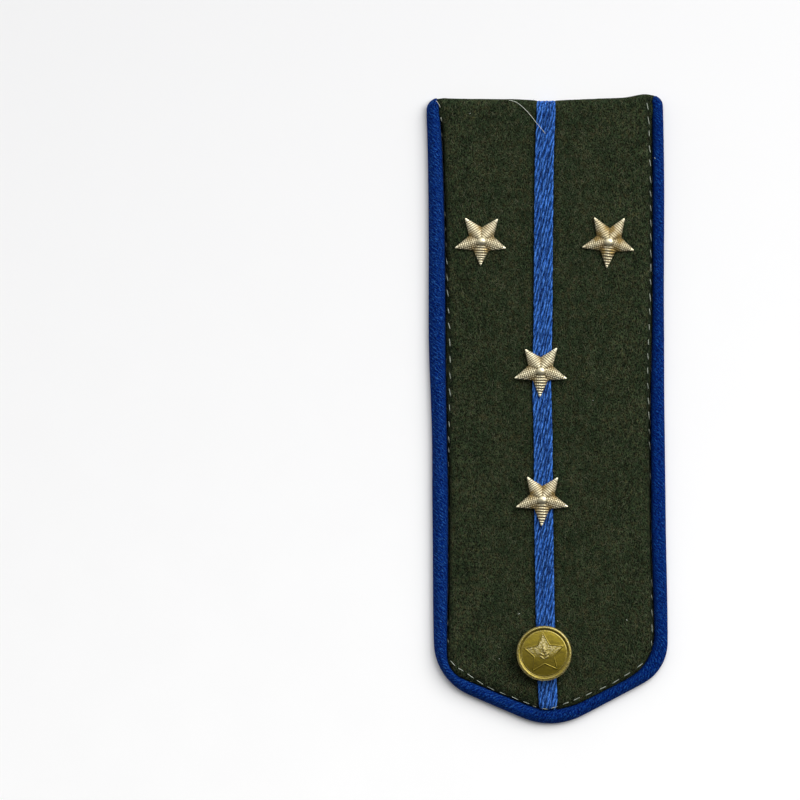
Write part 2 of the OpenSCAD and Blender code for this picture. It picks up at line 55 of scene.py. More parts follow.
# Helpers
def merged(name):
    bm = bmesh.new()
    bm.from_mesh(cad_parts[name].data)
    bmesh.ops.remove_doubles(bm, verts=bm.verts, dist=0.002 * mm)
    return bm


def put(name, data):
    thing = bpy.data.objects.new(name, data)
    bpy.context.scene.collection.objects.link(thing)
    return thing


def dress(mesh, materials):
    mesh.materials.clear()
    for material in materials:
        mesh.materials.append(material)


def newPiece(name, source, materials):
    if isinstance(source, bmesh.types.BMesh):
        mesh = bpy.data.meshes.new(name)
        source.to_mesh(mesh)
        source.free()
    else:
        mesh = source
        mesh.name = name
    dress(mesh, materials)
    mesh.polygons.foreach_set("use_smooth", [True] * len(mesh.polygons))
    return put(name, mesh)


def evaluated(piece):
    bpy.context.view_layer.update()
    graph = bpy.context.evaluated_depsgraph_get()
    return bpy.data.meshes.new_from_object(piece.evaluated_get(graph))


def applyModifiers(piece):
    mesh = evaluated(piece)
    piece.modifiers.clear()
    piece.data = mesh


def finished(piece, slot, *nodes):
    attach(piece, "root")
    if nodes:
        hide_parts(*nodes)
    piece.data.calc_loop_triangles()
    print(piece.name, len(piece.data.loop_triangles), "triangles")


def strands(name, lines, radius, resolution=1, tones=None):
    # Each line is a list of (point, share of the radius); the result is one mesh of closed tubes,
    # with a tone for each tube or for each of its points
    curve = bpy.data.curves.new(name, "CURVE")
    curve.dimensions = "3D"
    curve.bevel_depth = radius
    curve.bevel_resolution = resolution
    for line in lines:
        spline = curve.splines.new("POLY")
        spline.points.add(len(line) - 1)
        for spot, (point, share) in zip(spline.points, line):
            spot.co = (*point, 1)
            spot.radius = share
    carrier = put(name, curve)
    mesh = evaluated(carrier)
    bpy.data.objects.remove(carrier)
    bpy.data.curves.remove(curve)
    sides = 4 + 2 * resolution
    if tones:
        rows = [
            tone if isinstance(tone, list) else [tone] * len(line)
            for line, tone in zip(lines, tones)
        ]
        values = [tone for row in rows for tone in row for _ in range(sides)]
        mesh.attributes.new("tone", "FLOAT", "POINT").data.foreach_set("value", values)
    bm = bmesh.new()
    bm.from_mesh(mesh)
    bmesh.ops.holes_fill(bm, edges=[e for e in bm.edges if e.is_boundary], sides=sides)
    bm.to_mesh(mesh)
    bm.free()
    return mesh


def ramp(value, start, run):
    # From 0 at the start to 1 where the run ends
    return min(1, max(0, (value - start) / run))


def bell(value, middle, wide):
    # 1 in the middle, falling off to both sides
    return math.exp(-(((value - middle) / wide) ** 2))


def flatTree(points):
    # Finds the nearest of these points as seen from above
    tree = KDTree(len(points))
    for i, p in enumerate(points):
        tree.insert((p.x, p.y, 0), i)
    tree.balance()
    return tree


def turnAll(bm, verts, angle):
    bmesh.ops.rotate(bm, verts=verts, cent=(0, 0, 0), matrix=Matrix.Rotation(angle, 3, "Z"))


def between(table, at):
    # A smooth curve through (place, value) rows that rise in place
    if at <= table[0][0]:
        return table[0][1]
    if at >= table[-1][0]:
        return table[-1][1]
    i = max(k for k in range(len(table) - 1) if table[k][0] <= at)
    a, b, c, d = (table[min(max(k, 0), len(table) - 1)][1] for k in (i - 1, i, i + 1, i + 2))
    t = (at - table[i][0]) / (table[i + 1][0] - table[i][0])
    return b + t / 2 * (c - a + t * (2 * a - 5 * b + 4 * c - d + t * (3 * (b - c) + d - a)))


def seen(pixel):
    # A place on the board for a place in the picture
    across, down = pixel[0] - picture["across"], pixel[1] - picture["down"]
    turn, pitch = picture["turn"], picture["pitch"]
    u = (across - turn * down) / (1 + turn * turn)
    v = (down + turn * across) / (1 + turn * turn)
    return Vector((u * pitch * mm, -(v - picture["above"]) * pitch * mm, 0))


# Camera
camera = {
    "above": 2.5, "frame": 0.20384, "centre": (-37.7 * mm, 2.66 * mm), "turn": -0.588,
    "level": 3 * mm, "sensor": 36,
}

lens = bpy.data.cameras.new("camera")
lens.sensor_width = camera["sensor"]
lens.lens = camera["sensor"] * camera["above"] / camera["frame"]
lens.clip_start, lens.clip_end = 0.1, 30
eye = put("camera", lens)
eye.location = (*camera["centre"], camera["above"] + camera["level"])
eye.rotation_euler = (0, 0, math.radians(camera["turn"]))
bpy.context.scene.camera = eye
bpy.context.scene.view_settings.view_transform = "Standard"
bpy.context.scene.view_settings.look = "None"

# Light
light = {
    "keyPower": 23, "keySize": 1.3, "keyFrom": (0.95, 0.7, 1.15),
    "topPower": 7, "topSize": 1.2, "topFrom": (0.0, 0.95, 1.7),
    # The sky's strength, rising towards the board's folded end
    "sky": {"From Min": -0.25, "From Max": 0.3, "To Min": 0.1, "To Max": 0.78},
}


def areaLight(name, power, size, place):
    data = bpy.data.lights.new(name, "AREA")
    data.energy, data.size = power, size
    lamp = put(name, data)
    lamp.location = place
    lamp.rotation_euler = (-Vector(place)).to_track_quat("-Z", "Y").to_euler()
    lamp.visible_camera = False


areaLight("key", light["keyPower"], light["keySize"], light["keyFrom"])
areaLight("top", light["topPower"], light["topSize"], light["topFrom"])

world = bpy.data.worlds.new("studio")
world.use_nodes = True
bpy.context.scene.world = world
skyNodes, skyLinks = world.node_tree.nodes, world.node_tree.links
skyPlace = skyNodes.new("ShaderNodeTexCoord")
skySplit = skyNodes.new("ShaderNodeSeparateXYZ")
skyRange = skyNodes.new("ShaderNodeMapRange")
for label, value in light["sky"].items():
    skyRange.inputs[label].default_value = value
skyLinks.new(skyPlace.outputs["Generated"], skySplit.inputs["Vector"])
skyLinks.new(skySplit.outputs["Y"], skyRange.inputs["Value"])
skyLinks.new(skyRange.outputs["Result"], skyNodes["Background"].inputs["Strength"])
skyNodes["Background"].inputs["Color"].default_value = (1, 1, 1, 1)
print("camera and light")


# Shared shader groups
def newGroup(name, inputs, outputs):
    group = bpy.data.node_groups.new(name, "ShaderNodeTree")
    for label, kind, value in inputs:
        socket = group.interface.new_socket(label, in_out="INPUT", socket_type=kind)
        if value is not None:
            socket.default_value = value
    for label, kind in outputs:
        group.interface.new_socket(label, in_out="OUTPUT", socket_type=kind)
    return group, group.nodes.new("NodeGroupInput"), group.nodes.new("NodeGroupOutput")


# Fine stretched noise, from 0 to 1
grainGroup, grainIn, grainOut = newGroup(
    "grain",
    [("Vector", "NodeSocketVector", None), ("Density", "NodeSocketVector", (1000, 1000, 1000)),
     ("Detail", "NodeSocketFloat", 2.0),
     ("Low", "NodeSocketFloat", 0.35), ("High", "NodeSocketFloat", 0.65)],
    [("Amount", "NodeSocketFloat")],
)
stretch = grainGroup.nodes.new("ShaderNodeVectorMath")
stretch.operation = "MULTIPLY"
cloud = grainGroup.nodes.new("ShaderNodeTexNoise")
cloud.inputs["Scale"].default_value = 1.0
spread = grainGroup.nodes.new("ShaderNodeMapRange")
for source, output, target, entry in (
    (grainIn, "Vector", stretch, 0), (grainIn, "Density", stretch, 1),
    (stretch, "Vector", cloud, "Vector"), (grainIn, "Detail", cloud, "Detail"),
    (cloud, "Fac", spread, "Value"), (grainIn, "Low", spread, "From Min"),
    (grainIn, "High", spread, "From Max"), (spread, "Result", grainOut, "Amount"),
):
    grainGroup.links.new(source.outputs[output], target.inputs[entry])

# Slanted ribs of a twill, from 0 in the furrows to 1 on the ribs
ribGroup, ribIn, ribOut = newGroup(
    "ribs",
    [("Along", "NodeSocketFloat", None), ("Across", "NodeSocketFloat", None),
     ("Pitch", "NodeSocketFloat", 0.001), ("Slant", "NodeSocketFloat", 1.0)],
    [("Amount", "NodeSocketFloat")],
)
lean = ribGroup.nodes.new("ShaderNodeMath")
lean.operation = "MULTIPLY_ADD"
turns = ribGroup.nodes.new("ShaderNodeMath")
turns.operation = "DIVIDE"
angle = ribGroup.nodes.new("ShaderNodeMath")
angle.operation = "MULTIPLY"
angle.inputs[1].default_value = 2 * math.pi
wave = ribGroup.nodes.new("ShaderNodeMath")
wave.operation = "SINE"
lift = ribGroup.nodes.new("ShaderNodeMapRange")
lift.inputs["From Min"].default_value = -1
for source, output, target, entry in (
    (ribIn, "Across", lean, 0), (ribIn, "Slant", lean, 1), (ribIn, "Along", lean, 2),
    (lean, "Value", turns, 0), (ribIn, "Pitch", turns, 1), (turns, "Value", angle, 0),
    (angle, "Value", wave, 0), (wave, "Value", lift, "Value"), (lift, "Result", ribOut, "Amount"),
):
    ribGroup.links.new(source.outputs[output], target.inputs[entry])


# Materials
class Finish:
    def __init__(self, name, roughness, metallic=0.0, specular=0.5):
        self.material = bpy.data.materials.new(name)
        self.material.use_nodes = True
        self.nodes = self.material.node_tree.nodes
        self.links = self.material.node_tree.links
        self.shader = self.nodes["Principled BSDF"]
        self.shader.inputs["Roughness"].default_value = roughness
        self.shader.inputs["Metallic"].default_value = metallic
        self.shader.inputs["Specular IOR Level"].default_value = specular

    def place(self):
        return self.nodes.new("ShaderNodeTexCoord").outputs["Object"]

    def turned(self, place, degrees):
        node = self.nodes.new("ShaderNodeMapping")
        node.inputs["Rotation"].default_value = (0, 0, math.radians(degrees))
        self.links.new(place, node.inputs["Vector"])
        return node.outputs["Vector"]

    def attribute(self, name):
        node = self.nodes.new("ShaderNodeAttribute")
        node.attribute_name = name
        return node

    def grain(self, place, density, detail=2.0, low=0.35, high=0.65):
        node = self.nodes.new("ShaderNodeGroup")
        node.node_tree = grainGroup
        self.links.new(place, node.inputs["Vector"])
        node.inputs["Density"].default_value = density
        node.inputs["Detail"].default_value = detail
        node.inputs["Low"].default_value = low
        node.inputs["High"].default_value = high
        return node.outputs["Amount"]

    def ribs(self, along, across, pitch, slant):
        node = self.nodes.new("ShaderNodeGroup")
        node.node_tree = ribGroup
        self.links.new(along, node.inputs["Along"])
        self.links.new(across, node.inputs["Across"])
        node.inputs["Pitch"].default_value = pitch
        node.inputs["Slant"].default_value = slant
        return node.outputs["Amount"]

    def split(self, vector):
        node = self.nodes.new("ShaderNodeSeparateXYZ")
        self.links.new(vector, node.inputs[0])
        return node.outputs

    def maths(self, operation, first, second):
        node = self.nodes.new("ShaderNodeMath")
        node.operation = operation
        for socket, value in zip(node.inputs, (first, second)):
            if isinstance(value, (int, float)):
                socket.default_value = value
            else:
                self.links.new(value, socket)
        return node.outputs["Value"]

    def ranged(self, value, low, high, toLow=0.0, toHigh=1.0):
        node = self.nodes.new("ShaderNodeMapRange")
        self.links.new(value, node.inputs["Value"])
        ends = {"From Min": low, "From Max": high, "To Min": toLow, "To Max": toHigh}
        for label, number in ends.items():
            node.inputs[label].default_value = number
        return node.outputs["Result"]

    def mix(self, share, first, second, how="MIX"):
        node = self.nodes.new("ShaderNodeMix")
        node.data_type = "RGBA"
        node.blend_type = how
        for label, value in (("Factor", share), ("A", first), ("B", second)):
            kind = "VALUE" if label == "Factor" else "RGBA"
            socket = next(s for s in node.inputs if s.name == label and s.type == kind)
            if isinstance(value, (int, float, tuple)):
                socket.default_value = value
            else:
                self.links.new(value, socket)
        return next(s for s in node.outputs if s.type == "RGBA")

    def colour(self, value):
        self.links.new(value, self.shader.inputs["Base Color"])

    def bump(self, height, distance, strength=1.0):
        node = self.nodes.new("ShaderNodeBump")
        node.inputs["Strength"].default_value = strength
        node.inputs["Distance"].default_value = distance
        self.links.new(height, node.inputs["Height"])
        self.links.new(node.outputs["Normal"], self.shader.inputs["Normal"])


def feltFinish():
    f = Finish("felt", 0.95, specular=0.06)
    place = f.place()
    fine = f.grain(place, (3800, 2400, 2800), 2.0, 0.42, 0.61)
    slanted = f.grain(f.turned(place, 30), (5200, 1500, 2600), 1.0, 0.50, 0.70)
    counter = f.grain(f.turned(place, -35), (5200, 1500, 2600), 1.0, 0.50, 0.70)
    coarse = f.grain(place, (900, 560, 500), 2.0, 0.36, 0.66)
    patches = f.grain(place, (260, 170, 200), 2.0, 0.38, 0.64)
    rust = f.grain(place, (1300, 800, 1200), 2.0, 0.46, 0.66)
    base = f.mix(fine, (0.0016, 0.0030, 0.0012, 1), (0.058, 0.084, 0.036, 1))
    crossed = f.maths("MAXIMUM", slanted, counter)
    hairs = f.mix(f.ranged(crossed, 0, 1, 0, 0.6), base, (0.090, 0.108, 0.060, 1))
    shade = f.mix(coarse, hairs, (0.62, 0.66, 0.64, 1), "MULTIPLY")
    warm = f.mix(rust, shade, (1.20, 0.88, 0.84, 1), "MULTIPLY")
    mottled = f.mix(patches, warm, (0.70, 0.80, 0.78, 1), "MULTIPLY")
    # Painted shade: the seam's furrow, the felt's foot against the piping and the felt beside the stripe
    # are darkened by the furrow attribute
    furrow = f.attribute("furrow")
    f.colour(f.mix(furrow.outputs["Fac"], mottled, (0.0025, 0.0065, 0.0050, 1)))
    f.bump(f.maths("ADD", fine, f.maths("MULTIPLY", coarse, 0.6)), 0.26 * mm)
    return f.material


def backFinish():
    f = Finish("backCloth", 0.9, specular=0.2)
    place = f.place()
    parts = f.split(place)
    weft = f.ribs(parts["X"], parts["Y"], 0.9 * mm, 0.0)
    warp = f.ribs(parts["Y"], parts["X"], 0.9 * mm, 0.0)
    cross = f.maths("MULTIPLY", weft, warp)
    fine = f.grain(place, (1800, 1800, 1800))
    lit = f.maths("MULTIPLY", cross, fine)
    f.colour(f.mix(lit, (0.008, 0.010, 0.007, 1), (0.040, 0.046, 0.032, 1)))
    f.bump(cross, 0.1 * mm)
    return f.material


def napFinish():
    f = Finish("nap", 0.85, specular=0.06)
    tone = f.attribute("tone").outputs["Fac"]
    dark = f.mix(f.ranged(tone, 0, 0.5), (0.0035, 0.0055, 0.0025, 1), (0.032, 0.043, 0.022, 1))
    f.colour(f.mix(f.ranged(tone, 0.5, 1), dark, (0.175, 0.175, 0.112, 1)))
    return f.material


def pipingFinish():
    f = Finish("pipingCloth", 0.85, specular=0.03)
    lay = f.attribute("lay").outputs["Vector"]
    parts = f.split(lay)
    place = f.place()
    stir = f.grain(place, (700, 700, 700), 1.0, 0.3, 0.7)
    along = f.maths("ADD", parts["X"], f.maths("MULTIPLY", stir, 0.9 * mm))
    twill = f.ribs(along, parts["Y"], 1.05 * mm, -1.0)
    dashes = f.grain(f.turned(lay, -45), (1000, 4000, 1), 1.0, 0.52, 0.64)
    fine = f.grain(place, (3200, 3200, 3200), 2.0, 0.38, 0.62)
    worn = f.grain(place, (420, 300, 400), 2.0, 0.4, 0.75)
    lit = f.maths("MULTIPLY", dashes, f.ranged(twill, 0, 1, 0.35, 1.0))
    base = f.mix(fine, (0.0001, 0.0026, 0.043, 1), (0.0003, 0.0175, 0.162, 1))
    weave = f.maths("MAXIMUM", lit, f.ranged(twill, 0.5, 1, 0, 0.3))
    share = f.maths("MULTIPLY", weave, f.ranged(fine, 0, 1, 0.4, 1.0))
    woven = f.mix(share, base, (0.026, 0.120, 0.385, 1))
    faded = f.mix(f.ranged(worn, 0, 1, 0, 0.3), woven, (0.0012, 0.018, 0.115, 1))
    # Painted shade: the cloth on the board's right side is darkened against the key light that falls
    # there
    shade = f.ranged(f.split(place)["X"], -0.03, 0.03)
    f.colour(f.mix(shade, faded, (0.5, 0.76, 0.86, 1), "MULTIPLY"))
    relief = f.maths("ADD", f.maths("MULTIPLY", twill, 0.2), f.maths("MULTIPLY", dashes, 0.5))
    f.bump(f.maths("ADD", relief, f.maths("MULTIPLY", fine, 0.5)), 0.09 * mm)
    return f.material


def cordFinish():
    f = Finish("cordYarn", 0.75, specular=0.08)
    tone = f.attribute("tone").outputs["Fac"]
    place = f.place()
    fibre = f.grain(f.turned(place, 12), (4600, 800, 2600), 2.0, 0.38, 0.62)
    nubs = f.grain(place, (4400, 2600, 3000), 1.0, 0.36, 0.64)
    # The tone carries the yarns' own tones together with the painted shade and highlight of the cords'
    # layout
    base = f.mix(tone, (0.0016, 0.011, 0.080, 1), (0.028, 0.166, 0.69, 1))
    lit = f.maths("MULTIPLY", f.ranged(fibre, 0.5, 1, 0.0, 0.8), f.ranged(tone, 0, 0.45, 0.3, 1))
    streaks = f.mix(lit, base, (0.115, 0.34, 0.92, 1))
    darks = f.mix(f.ranged(fibre, 0.5, 0, 0.0, 0.8), streaks, (0.0020, 0.014, 0.095, 1))
    dull = f.mix(f.ranged(nubs, 0.5, 0, 0, 0.6), darks, (0.35, 0.42, 0.52, 1), "MULTIPLY")
    f.colour(f.mix(f.ranged(nubs, 0.5, 1, 0, 0.15), dull, (0.15, 0.37, 0.78, 1)))
    f.bump(f.maths("ADD", fibre, nubs), 0.05 * mm)
    return f.material


def threadFinish():
    f = Finish("thread", 0.8, specular=0.1)
    place = f.place()
    fine = f.grain(place, (4000, 4000, 4000))
    f.colour(f.mix(fine, (0.30, 0.335, 0.275, 1), (0.58, 0.63, 0.53, 1)))
    f.bump(fine, 0.03 * mm)
    return f.material


def hairFinish():
    f = Finish("hair", 0.6)
    fine = f.grain(f.place(), (2500, 2500, 2500))
    f.colour(f.mix(fine, (0.50, 0.54, 0.46, 1), (0.68, 0.71, 0.62, 1)))
    return f.material


def giltFinish(name, bright, dull, roughness):
    f = Finish(name, roughness, 1.0)
    place = f.place()
    stain = f.grain(place, (700, 700, 700), 3.0, 0.45, 0.72)
    pits = f.grain(place, (4200, 4200, 4200), 2.0, 0.35, 0.65)
    depth = f.attribute("depth").outputs["Fac"]
    ray = f.split(f.attribute("ray").outputs["Vector"])
    line = f.ribs(ray["X"], ray["Y"], 0.5 * mm, 0.0)
    bead = f.ranged(line, 0.0, 0.45)
    score = f.maths("MULTIPLY", f.ranged(bead, 1, 0), ray["Z"])
    stained = f.maths("MAXIMUM", f.ranged(stain, 0, 1, 0, 0.4), f.ranged(score, 0, 1, 0, 0.42))
    dirt = f.maths("MAXIMUM", depth, stained)
    f.colour(f.mix(dirt, f.mix(ray["Y"], bright, (0.42, 0.29, 0.09, 1)), dull))
    rough = f.ranged(f.maths("ADD", dirt, f.ranged(pits, 0, 1, 0, 0.3)), 0, 1.3, roughness, 0.62)
    f.links.new(rough, f.shader.inputs["Roughness"])
    low = f.maths("SUBTRACT", f.maths("MULTIPLY", f.maths("ADD", pits, stain), 0.2), score)
    f.bump(low, 0.09 * mm)
    return f.material


def buttonFinish():
    f = Finish("buttonGilt", 0.34, 0.9)
    f.shader.inputs["Coat Weight"].default_value = 0.55
    f.shader.inputs["Coat Roughness"].default_value = 0.16
    place = f.place()
    stain = f.grain(place, (500, 500, 500), 3.0, 0.42, 0.72)
    pits = f.grain(place, (2600, 2600, 2600), 2.0, 0.42, 0.6)
    depth = f.attribute("depth").outputs["Fac"]
    worn = f.attribute("worn").outputs["Fac"]
    shade = f.mix(f.ranged(stain, 0, 1, 0, 0.35), (0.25, 0.190, 0.010, 1), (0.15, 0.112, 0.006, 1))
    bare = f.maths("MULTIPLY", worn, f.ranged(pits, 0, 1, 0.15, 0.9))
    rubbed = f.mix(bare, shade, (0.60, 0.52, 0.27, 1))
    # Painted shade: the groove inside the rim darkens by its depth value
    f.colour(f.mix(depth, rubbed, (0.05, 0.035, 0.008, 1)))
    rough = f.ranged(f.maths("ADD", f.ranged(pits, 0, 1, 0, 0.4), worn), 0, 1.4, 0.30, 0.45)
    f.links.new(rough, f.shader.inputs["Roughness"])
    f.bump(f.maths("ADD", f.maths("MULTIPLY", pits, f.ranged(worn, 0, 1, 0.25, 1.6)), stain), 0.03 * mm)
    return f.material


felt, backCloth, nap = feltFinish(), backFinish(), napFinish()
pipingCloth, cordYarn, thread = pipingFinish(), cordFinish(), threadFinish()
starGilt = giltFinish("starGilt", (0.97, 0.91, 0.66, 1), (0.25, 0.185, 0.09, 1), 0.28)
buttonGilt, hairTone = buttonFinish(), hairFinish()

floorFinish = Finish("paper", 0.9, specular=0.1)
speck = floorFinish.grain(floorFinish.place(), (60, 60, 60))
paper = floorFinish.mix(speck, (0.98, 0.98, 0.98, 1), (0.99, 0.99, 0.99, 1))
# Painted shade: the paper turns darker towards +Y, the top of the view, where the light falls off
fade = floorFinish.ranged(floorFinish.split(floorFinish.place())["Y"], -0.1, 0.12)
floorFinish.colour(floorFinish.mix(fade, paper, (0.84, 0.84, 0.845, 1)))
print("materials")

# Floor
bm = bmesh.new()
bmesh.ops.create_grid(bm, x_segments=4, y_segments=4, size=4)
floor = newPiece("floor", bm, [floorFinish.material])

# Line of the stitches, from the picture, from the right top round the point to the left top
sewnLine = [
    (647.0, 98), (649.0, 125), (649.8, 150), (650.4, 170), (651.0, 215), (651.0, 270), (649.6, 320),
    (648.0, 355), (647.7, 380), (648.6, 400), (649.8, 440), (651.2, 500), (652.0, 560), (652.2, 640),
    (650.6, 655), (640.3, 665.7), (627.2, 674.4), (615.9, 681.5), (602.8, 688), (588.7, 694),
    (576.8, 698.8), (566, 703.2), (554.5, 707.6), (545, 709.6), (536.3, 707.5), (526.5, 702.6),
    (515.1, 698.3), (502.7, 693.4), (490.7, 688.6), (479.9, 682.5), (470.7, 676), (460.9, 669.5),
    (452.2, 664.1), (448.4, 655), (447.9, 630), (448.0, 560), (448.6, 500), (449.0, 436), (450.0, 390),
    (450.2, 358), (449.4, 327), (447.7, 293), (446.9, 261), (445.0, 215), (443.2, 160), (441.5, 125),
    (440.5, 98),
]
sewing = {"step": 0.3, "smoothing": 20}
seam = []
for a, b in zip(sewnLine, sewnLine[1:]):
    start, end = seen(a), seen(b)
    steps = max(1, round((end - start).length / (sewing["step"] * mm)))
    seam.extend(start.lerp(end, k / steps) for k in range(steps))
for _ in range(sewing["smoothing"]):
    seam = [seam[0]] + [(a + b + c) / 3 for a, b, c in zip(seam, seam[1:], seam[2:])] + [seam[-1]]
seamTree = flatTree(seam)

# The stripe's line on the felt, from the crest of its solid
stripeCrest = {"above": 4.1495, "apart": 1.5}

bm = merged("stripe")
ridge = sorted((v.co.y, v.co.x) for v in bm.verts if v.co.z > stripeCrest["above"] * mm)
bm.free()
stripeLine = []
for y, x in ridge:
    if not stripeLine or y - stripeLine[-1][0] > stripeCrest["apart"] * mm:
        stripeLine.append((y, x))

# Felt-covered panel
panel = {
    "voxel": 0.5, "backHigh": 0.35, "lumps": 0.05, "lumpScale": 260, "nubs": 0.035, "nubScale": 1100,
    # The furrow of the seam: its depth and width, its painted shade at the point and what that shade
    # gains above, then the foot's painted shade against the piping and what it gains above
    "furrow": 0.16, "furrowWide": 0.42, "furrowShade": (0.15, 0.45), "footShade": (0.2, 0.55),
    # The foot, the pointed end and the top corners reach out to the piping
    "footHigh": 0.95, "footReach": 0.7, "footStop": 0.09, "reach": 1.4,
    "cornerY": 73, "cornerRun": 3, "rightOver": 0.45, "leftOver": 0.9,
    "pointY": -62, "pointRun": 8, "pointOver": 0.12, "pointPull": 0.65,
    # The right top corner stands higher
    "rise": 0.22, "riseX": 21, "riseWide": 4, "riseRun": 1.5,
    # The fold beside the cords: from where it is in the solid to where it closes up to them
    "foldY": 75.5, "stripeY": 77, "beside": ((0, 0), (2.2, 1.9), (3.3, 2.4), (4.6, 4.6)),
    "dip": 0.1, "dipX": 2.6, "dipWide": 1.4,
    # The shade beside the stripe
    "leftShade": 0.8, "rightShade": 0.35, "shadeX": 2.55, "shadeWide": 0.4, "shadeTo": 8,
}

bm = merged("piping")
edgeTree = BVHTree.FromBMesh(bm)
bm.free()
board = newPiece("panel_felt", merged("panel"), [felt, backCloth])
remesh = board.modifiers.new("remesh", "REMESH")
remesh.mode = "VOXEL"
remesh.voxel_size = panel["voxel"] * mm
applyModifiers(board)

bm = bmesh.new()
bm.from_mesh(board.data)
bmesh.ops.smooth_vert(bm, verts=bm.verts, factor=0.5, use_axis_x=True, use_axis_y=True, use_axis_z=True)
bm.normal_update()
moves = []
# The felt's painted shade: in the seam's furrow, at its foot against the piping and beside the stripe
paintedShadeLayer = bm.verts.layers.float.new("furrow")
stripeTop = between(stripeLine, panel["stripeY"] * mm)
closing = panel["beside"]
for v in bm.verts:
    foot = v.co.z < panel["footHigh"] * mm
    corner = ramp(v.co.y, panel["cornerY"] * mm, panel["cornerRun"] * mm)
    slope = ramp(v.co.y, panel["pointY"] * mm, panel["pointRun"] * mm)  # 0 at the pointed end
    pointed = panel["pointPull"] * (1 - slope)
    if foot or corner + pointed > 0:
        spot, _, _, gap = edgeTree.find_nearest(v.co, panel["reach"] * mm)
        if spot is not None and gap > 0.001 * mm:
            g = gap / mm
            pull = g - panel["footStop"] if foot and panel["footStop"] < g < panel["footReach"] else 0
            over = panel["rightOver" if v.co.x > 0 else "leftOver"]
            if pointed > 0:
                over = panel["pointOver"]
            pull = max(pull, (corner + pointed) * (g + over) * (1 - (g / panel["reach"]) ** 2))
            moves.append((v, (spot - v.co) / g * pull))
            # Painted shade in the crevice where the felt's foot meets the piping
            if foot and g < panel["footReach"]:
                v[paintedShadeLayer] = panel["footShade"][0] + panel["footShade"][1] * slope
    rise = ramp(v.co.x, panel["riseX"] * mm, panel["riseWide"] * mm)
    rise *= ramp(v.co.y, panel["foldY"] * mm, panel["riseRun"] * mm)
    moves.append((v, Vector((0, panel["rise"] * rise * mm, 0))))
    across = (v.co.x - stripeTop) / mm
    if v.co.y > panel["foldY"] * mm and abs(across) < closing[-1][0]:
        # The fold closes up to the cords, with a slight dip
        pairs = zip(closing, closing[1:])
        (a, to), (b, until) = next(pair for pair in pairs if abs(across) < pair[1][0])
        closer = abs(across) - to - (abs(across) - a) / (b - a) * (until - to)
        dip = panel["dip"] * bell(abs(across), panel["dipX"], panel["dipWide"])
        if abs(across) <= panel["dipX"]:
            dip = 0
        near = min(1, v.co.y / mm - panel["foldY"])
        moves.append((v, Vector((-math.copysign(closer, across), -dip, 0)) * near * mm))
    if foot:
        continue
    near = seamTree.find((v.co.x, v.co.y, 0))[2] / (panel["furrowWide"] * mm)
    groove = math.exp(-near * near)
    # Painted shade along the seam's furrow, weaker at the pointed end
    v[paintedShadeLayer] = (panel["furrowShade"][0] + panel["furrowShade"][1] * slope) * groove
    if abs(v.co.x) < panel["shadeTo"] * mm:
        # The felt lies in shade beside the stripe, more so on its left
        beside = (v.co.x - between(stripeLine, v.co.y)) / mm
        shade = panel["leftShade"] if beside < 0 else panel["rightShade"]
        v[paintedShadeLayer] += shade * bell(abs(beside), panel["shadeX"], panel["shadeWide"])
    lump = noise.noise(v.co * panel["lumpScale"]) * panel["lumps"]
    lump += noise.noise(v.co * panel["nubScale"]) * panel["nubs"]
    moves.append((v, v.normal * (lump - panel["furrow"] * groove) * mm))
for v, move in moves:
    v.co += move
for v in bm.verts:
    v.co.z = max(v.co.z, 0)
dress(board.data, [felt, backCloth])
for face in bm.faces:
    face.smooth = True
    face.material_index = 1 if face.calc_center_median().z < panel["backHigh"] * mm else 0
bm.to_mesh(board.data)
bm.free()
finished(board, "felt", "panel")

bm = bmesh.new()
bm.from_mesh(board.data)
feltTree = BVHTree.FromBMesh(bm)
bm.free()


def onFelt(x, y):
    spot, normal, _, _ = feltTree.ray_cast(Vector((x, y, 20 * mm)), Vector((0, 0, -1)))
    return spot, normal


# Nap on the felt
fibre = {
    "count": 9300, "x": (-27, 27.2), "y": (-77, 78), "lowest": 1.7, "steepest": 0.15,
    # How far from the stripe's middle they start, on the board and on the fold
    "clear": 2.2, "foldClear": 2.9, "foldY": 76.5,
    "reach": (0.35, 1.5), "thick": 0.031, "spread": 0.6, "stray": 0.2, "bend": 0.16,
    "root": 0.03, "rise": (0.01, 0.10), "tip": (-0.12, 0.05), "shares": (0.7, 1.2), "paleness": 1.6,
}


def napFibres(seed):
    dice = random.Random(seed)
    lines, tones = [], []
    while len(lines) < fibre["count"]:
        x, y = dice.uniform(*fibre["x"]) * mm, dice.uniform(*fibre["y"]) * mm
        spot, normal = onFelt(x, y)
        if spot is None or spot.z < fibre["lowest"] * mm or normal.z < fibre["steepest"]:
            continue
        clear = fibre["foldClear"] if y > fibre["foldY"] * mm else fibre["clear"]
        if abs(x - between(stripeLine, y)) < clear * mm:
            continue
        way = math.pi / 2 + dice.gauss(0, fibre["spread"])
        if dice.random() < fibre["stray"]:
            way = dice.uniform(0, math.pi)
        flat = Vector((math.cos(way), math.sin(way), 0))
        flat = (flat - normal * flat.dot(normal)).normalized()
        side = normal.cross(flat)
        reach = dice.uniform(*fibre["reach"]) * mm
        bend = dice.gauss(0, fibre["bend"]) * reach
        rise = dice.uniform(*fibre["rise"]) * mm
        thick = dice.uniform(*fibre["shares"])
        start = spot - normal * fibre["root"] * mm
        middle = spot + flat * reach * 0.5 + side * bend + normal * rise
        end = spot + flat * reach - normal * dice.uniform(*fibre["tip"]) * mm
        lines.append([(start, thick), (middle, thick), (end, thick * 0.5)])
        tones.append(dice.random() ** fibre["paleness"])
    return lines, tones


for k in (1, 2):
    lines, tones = napFibres(40 + k)
    mesh = strands(f"nap_{k}", lines, fibre["thick"] * mm, 0, tones)
    finished(newPiece(f"nap_{k}", mesh, [nap]), "felt")

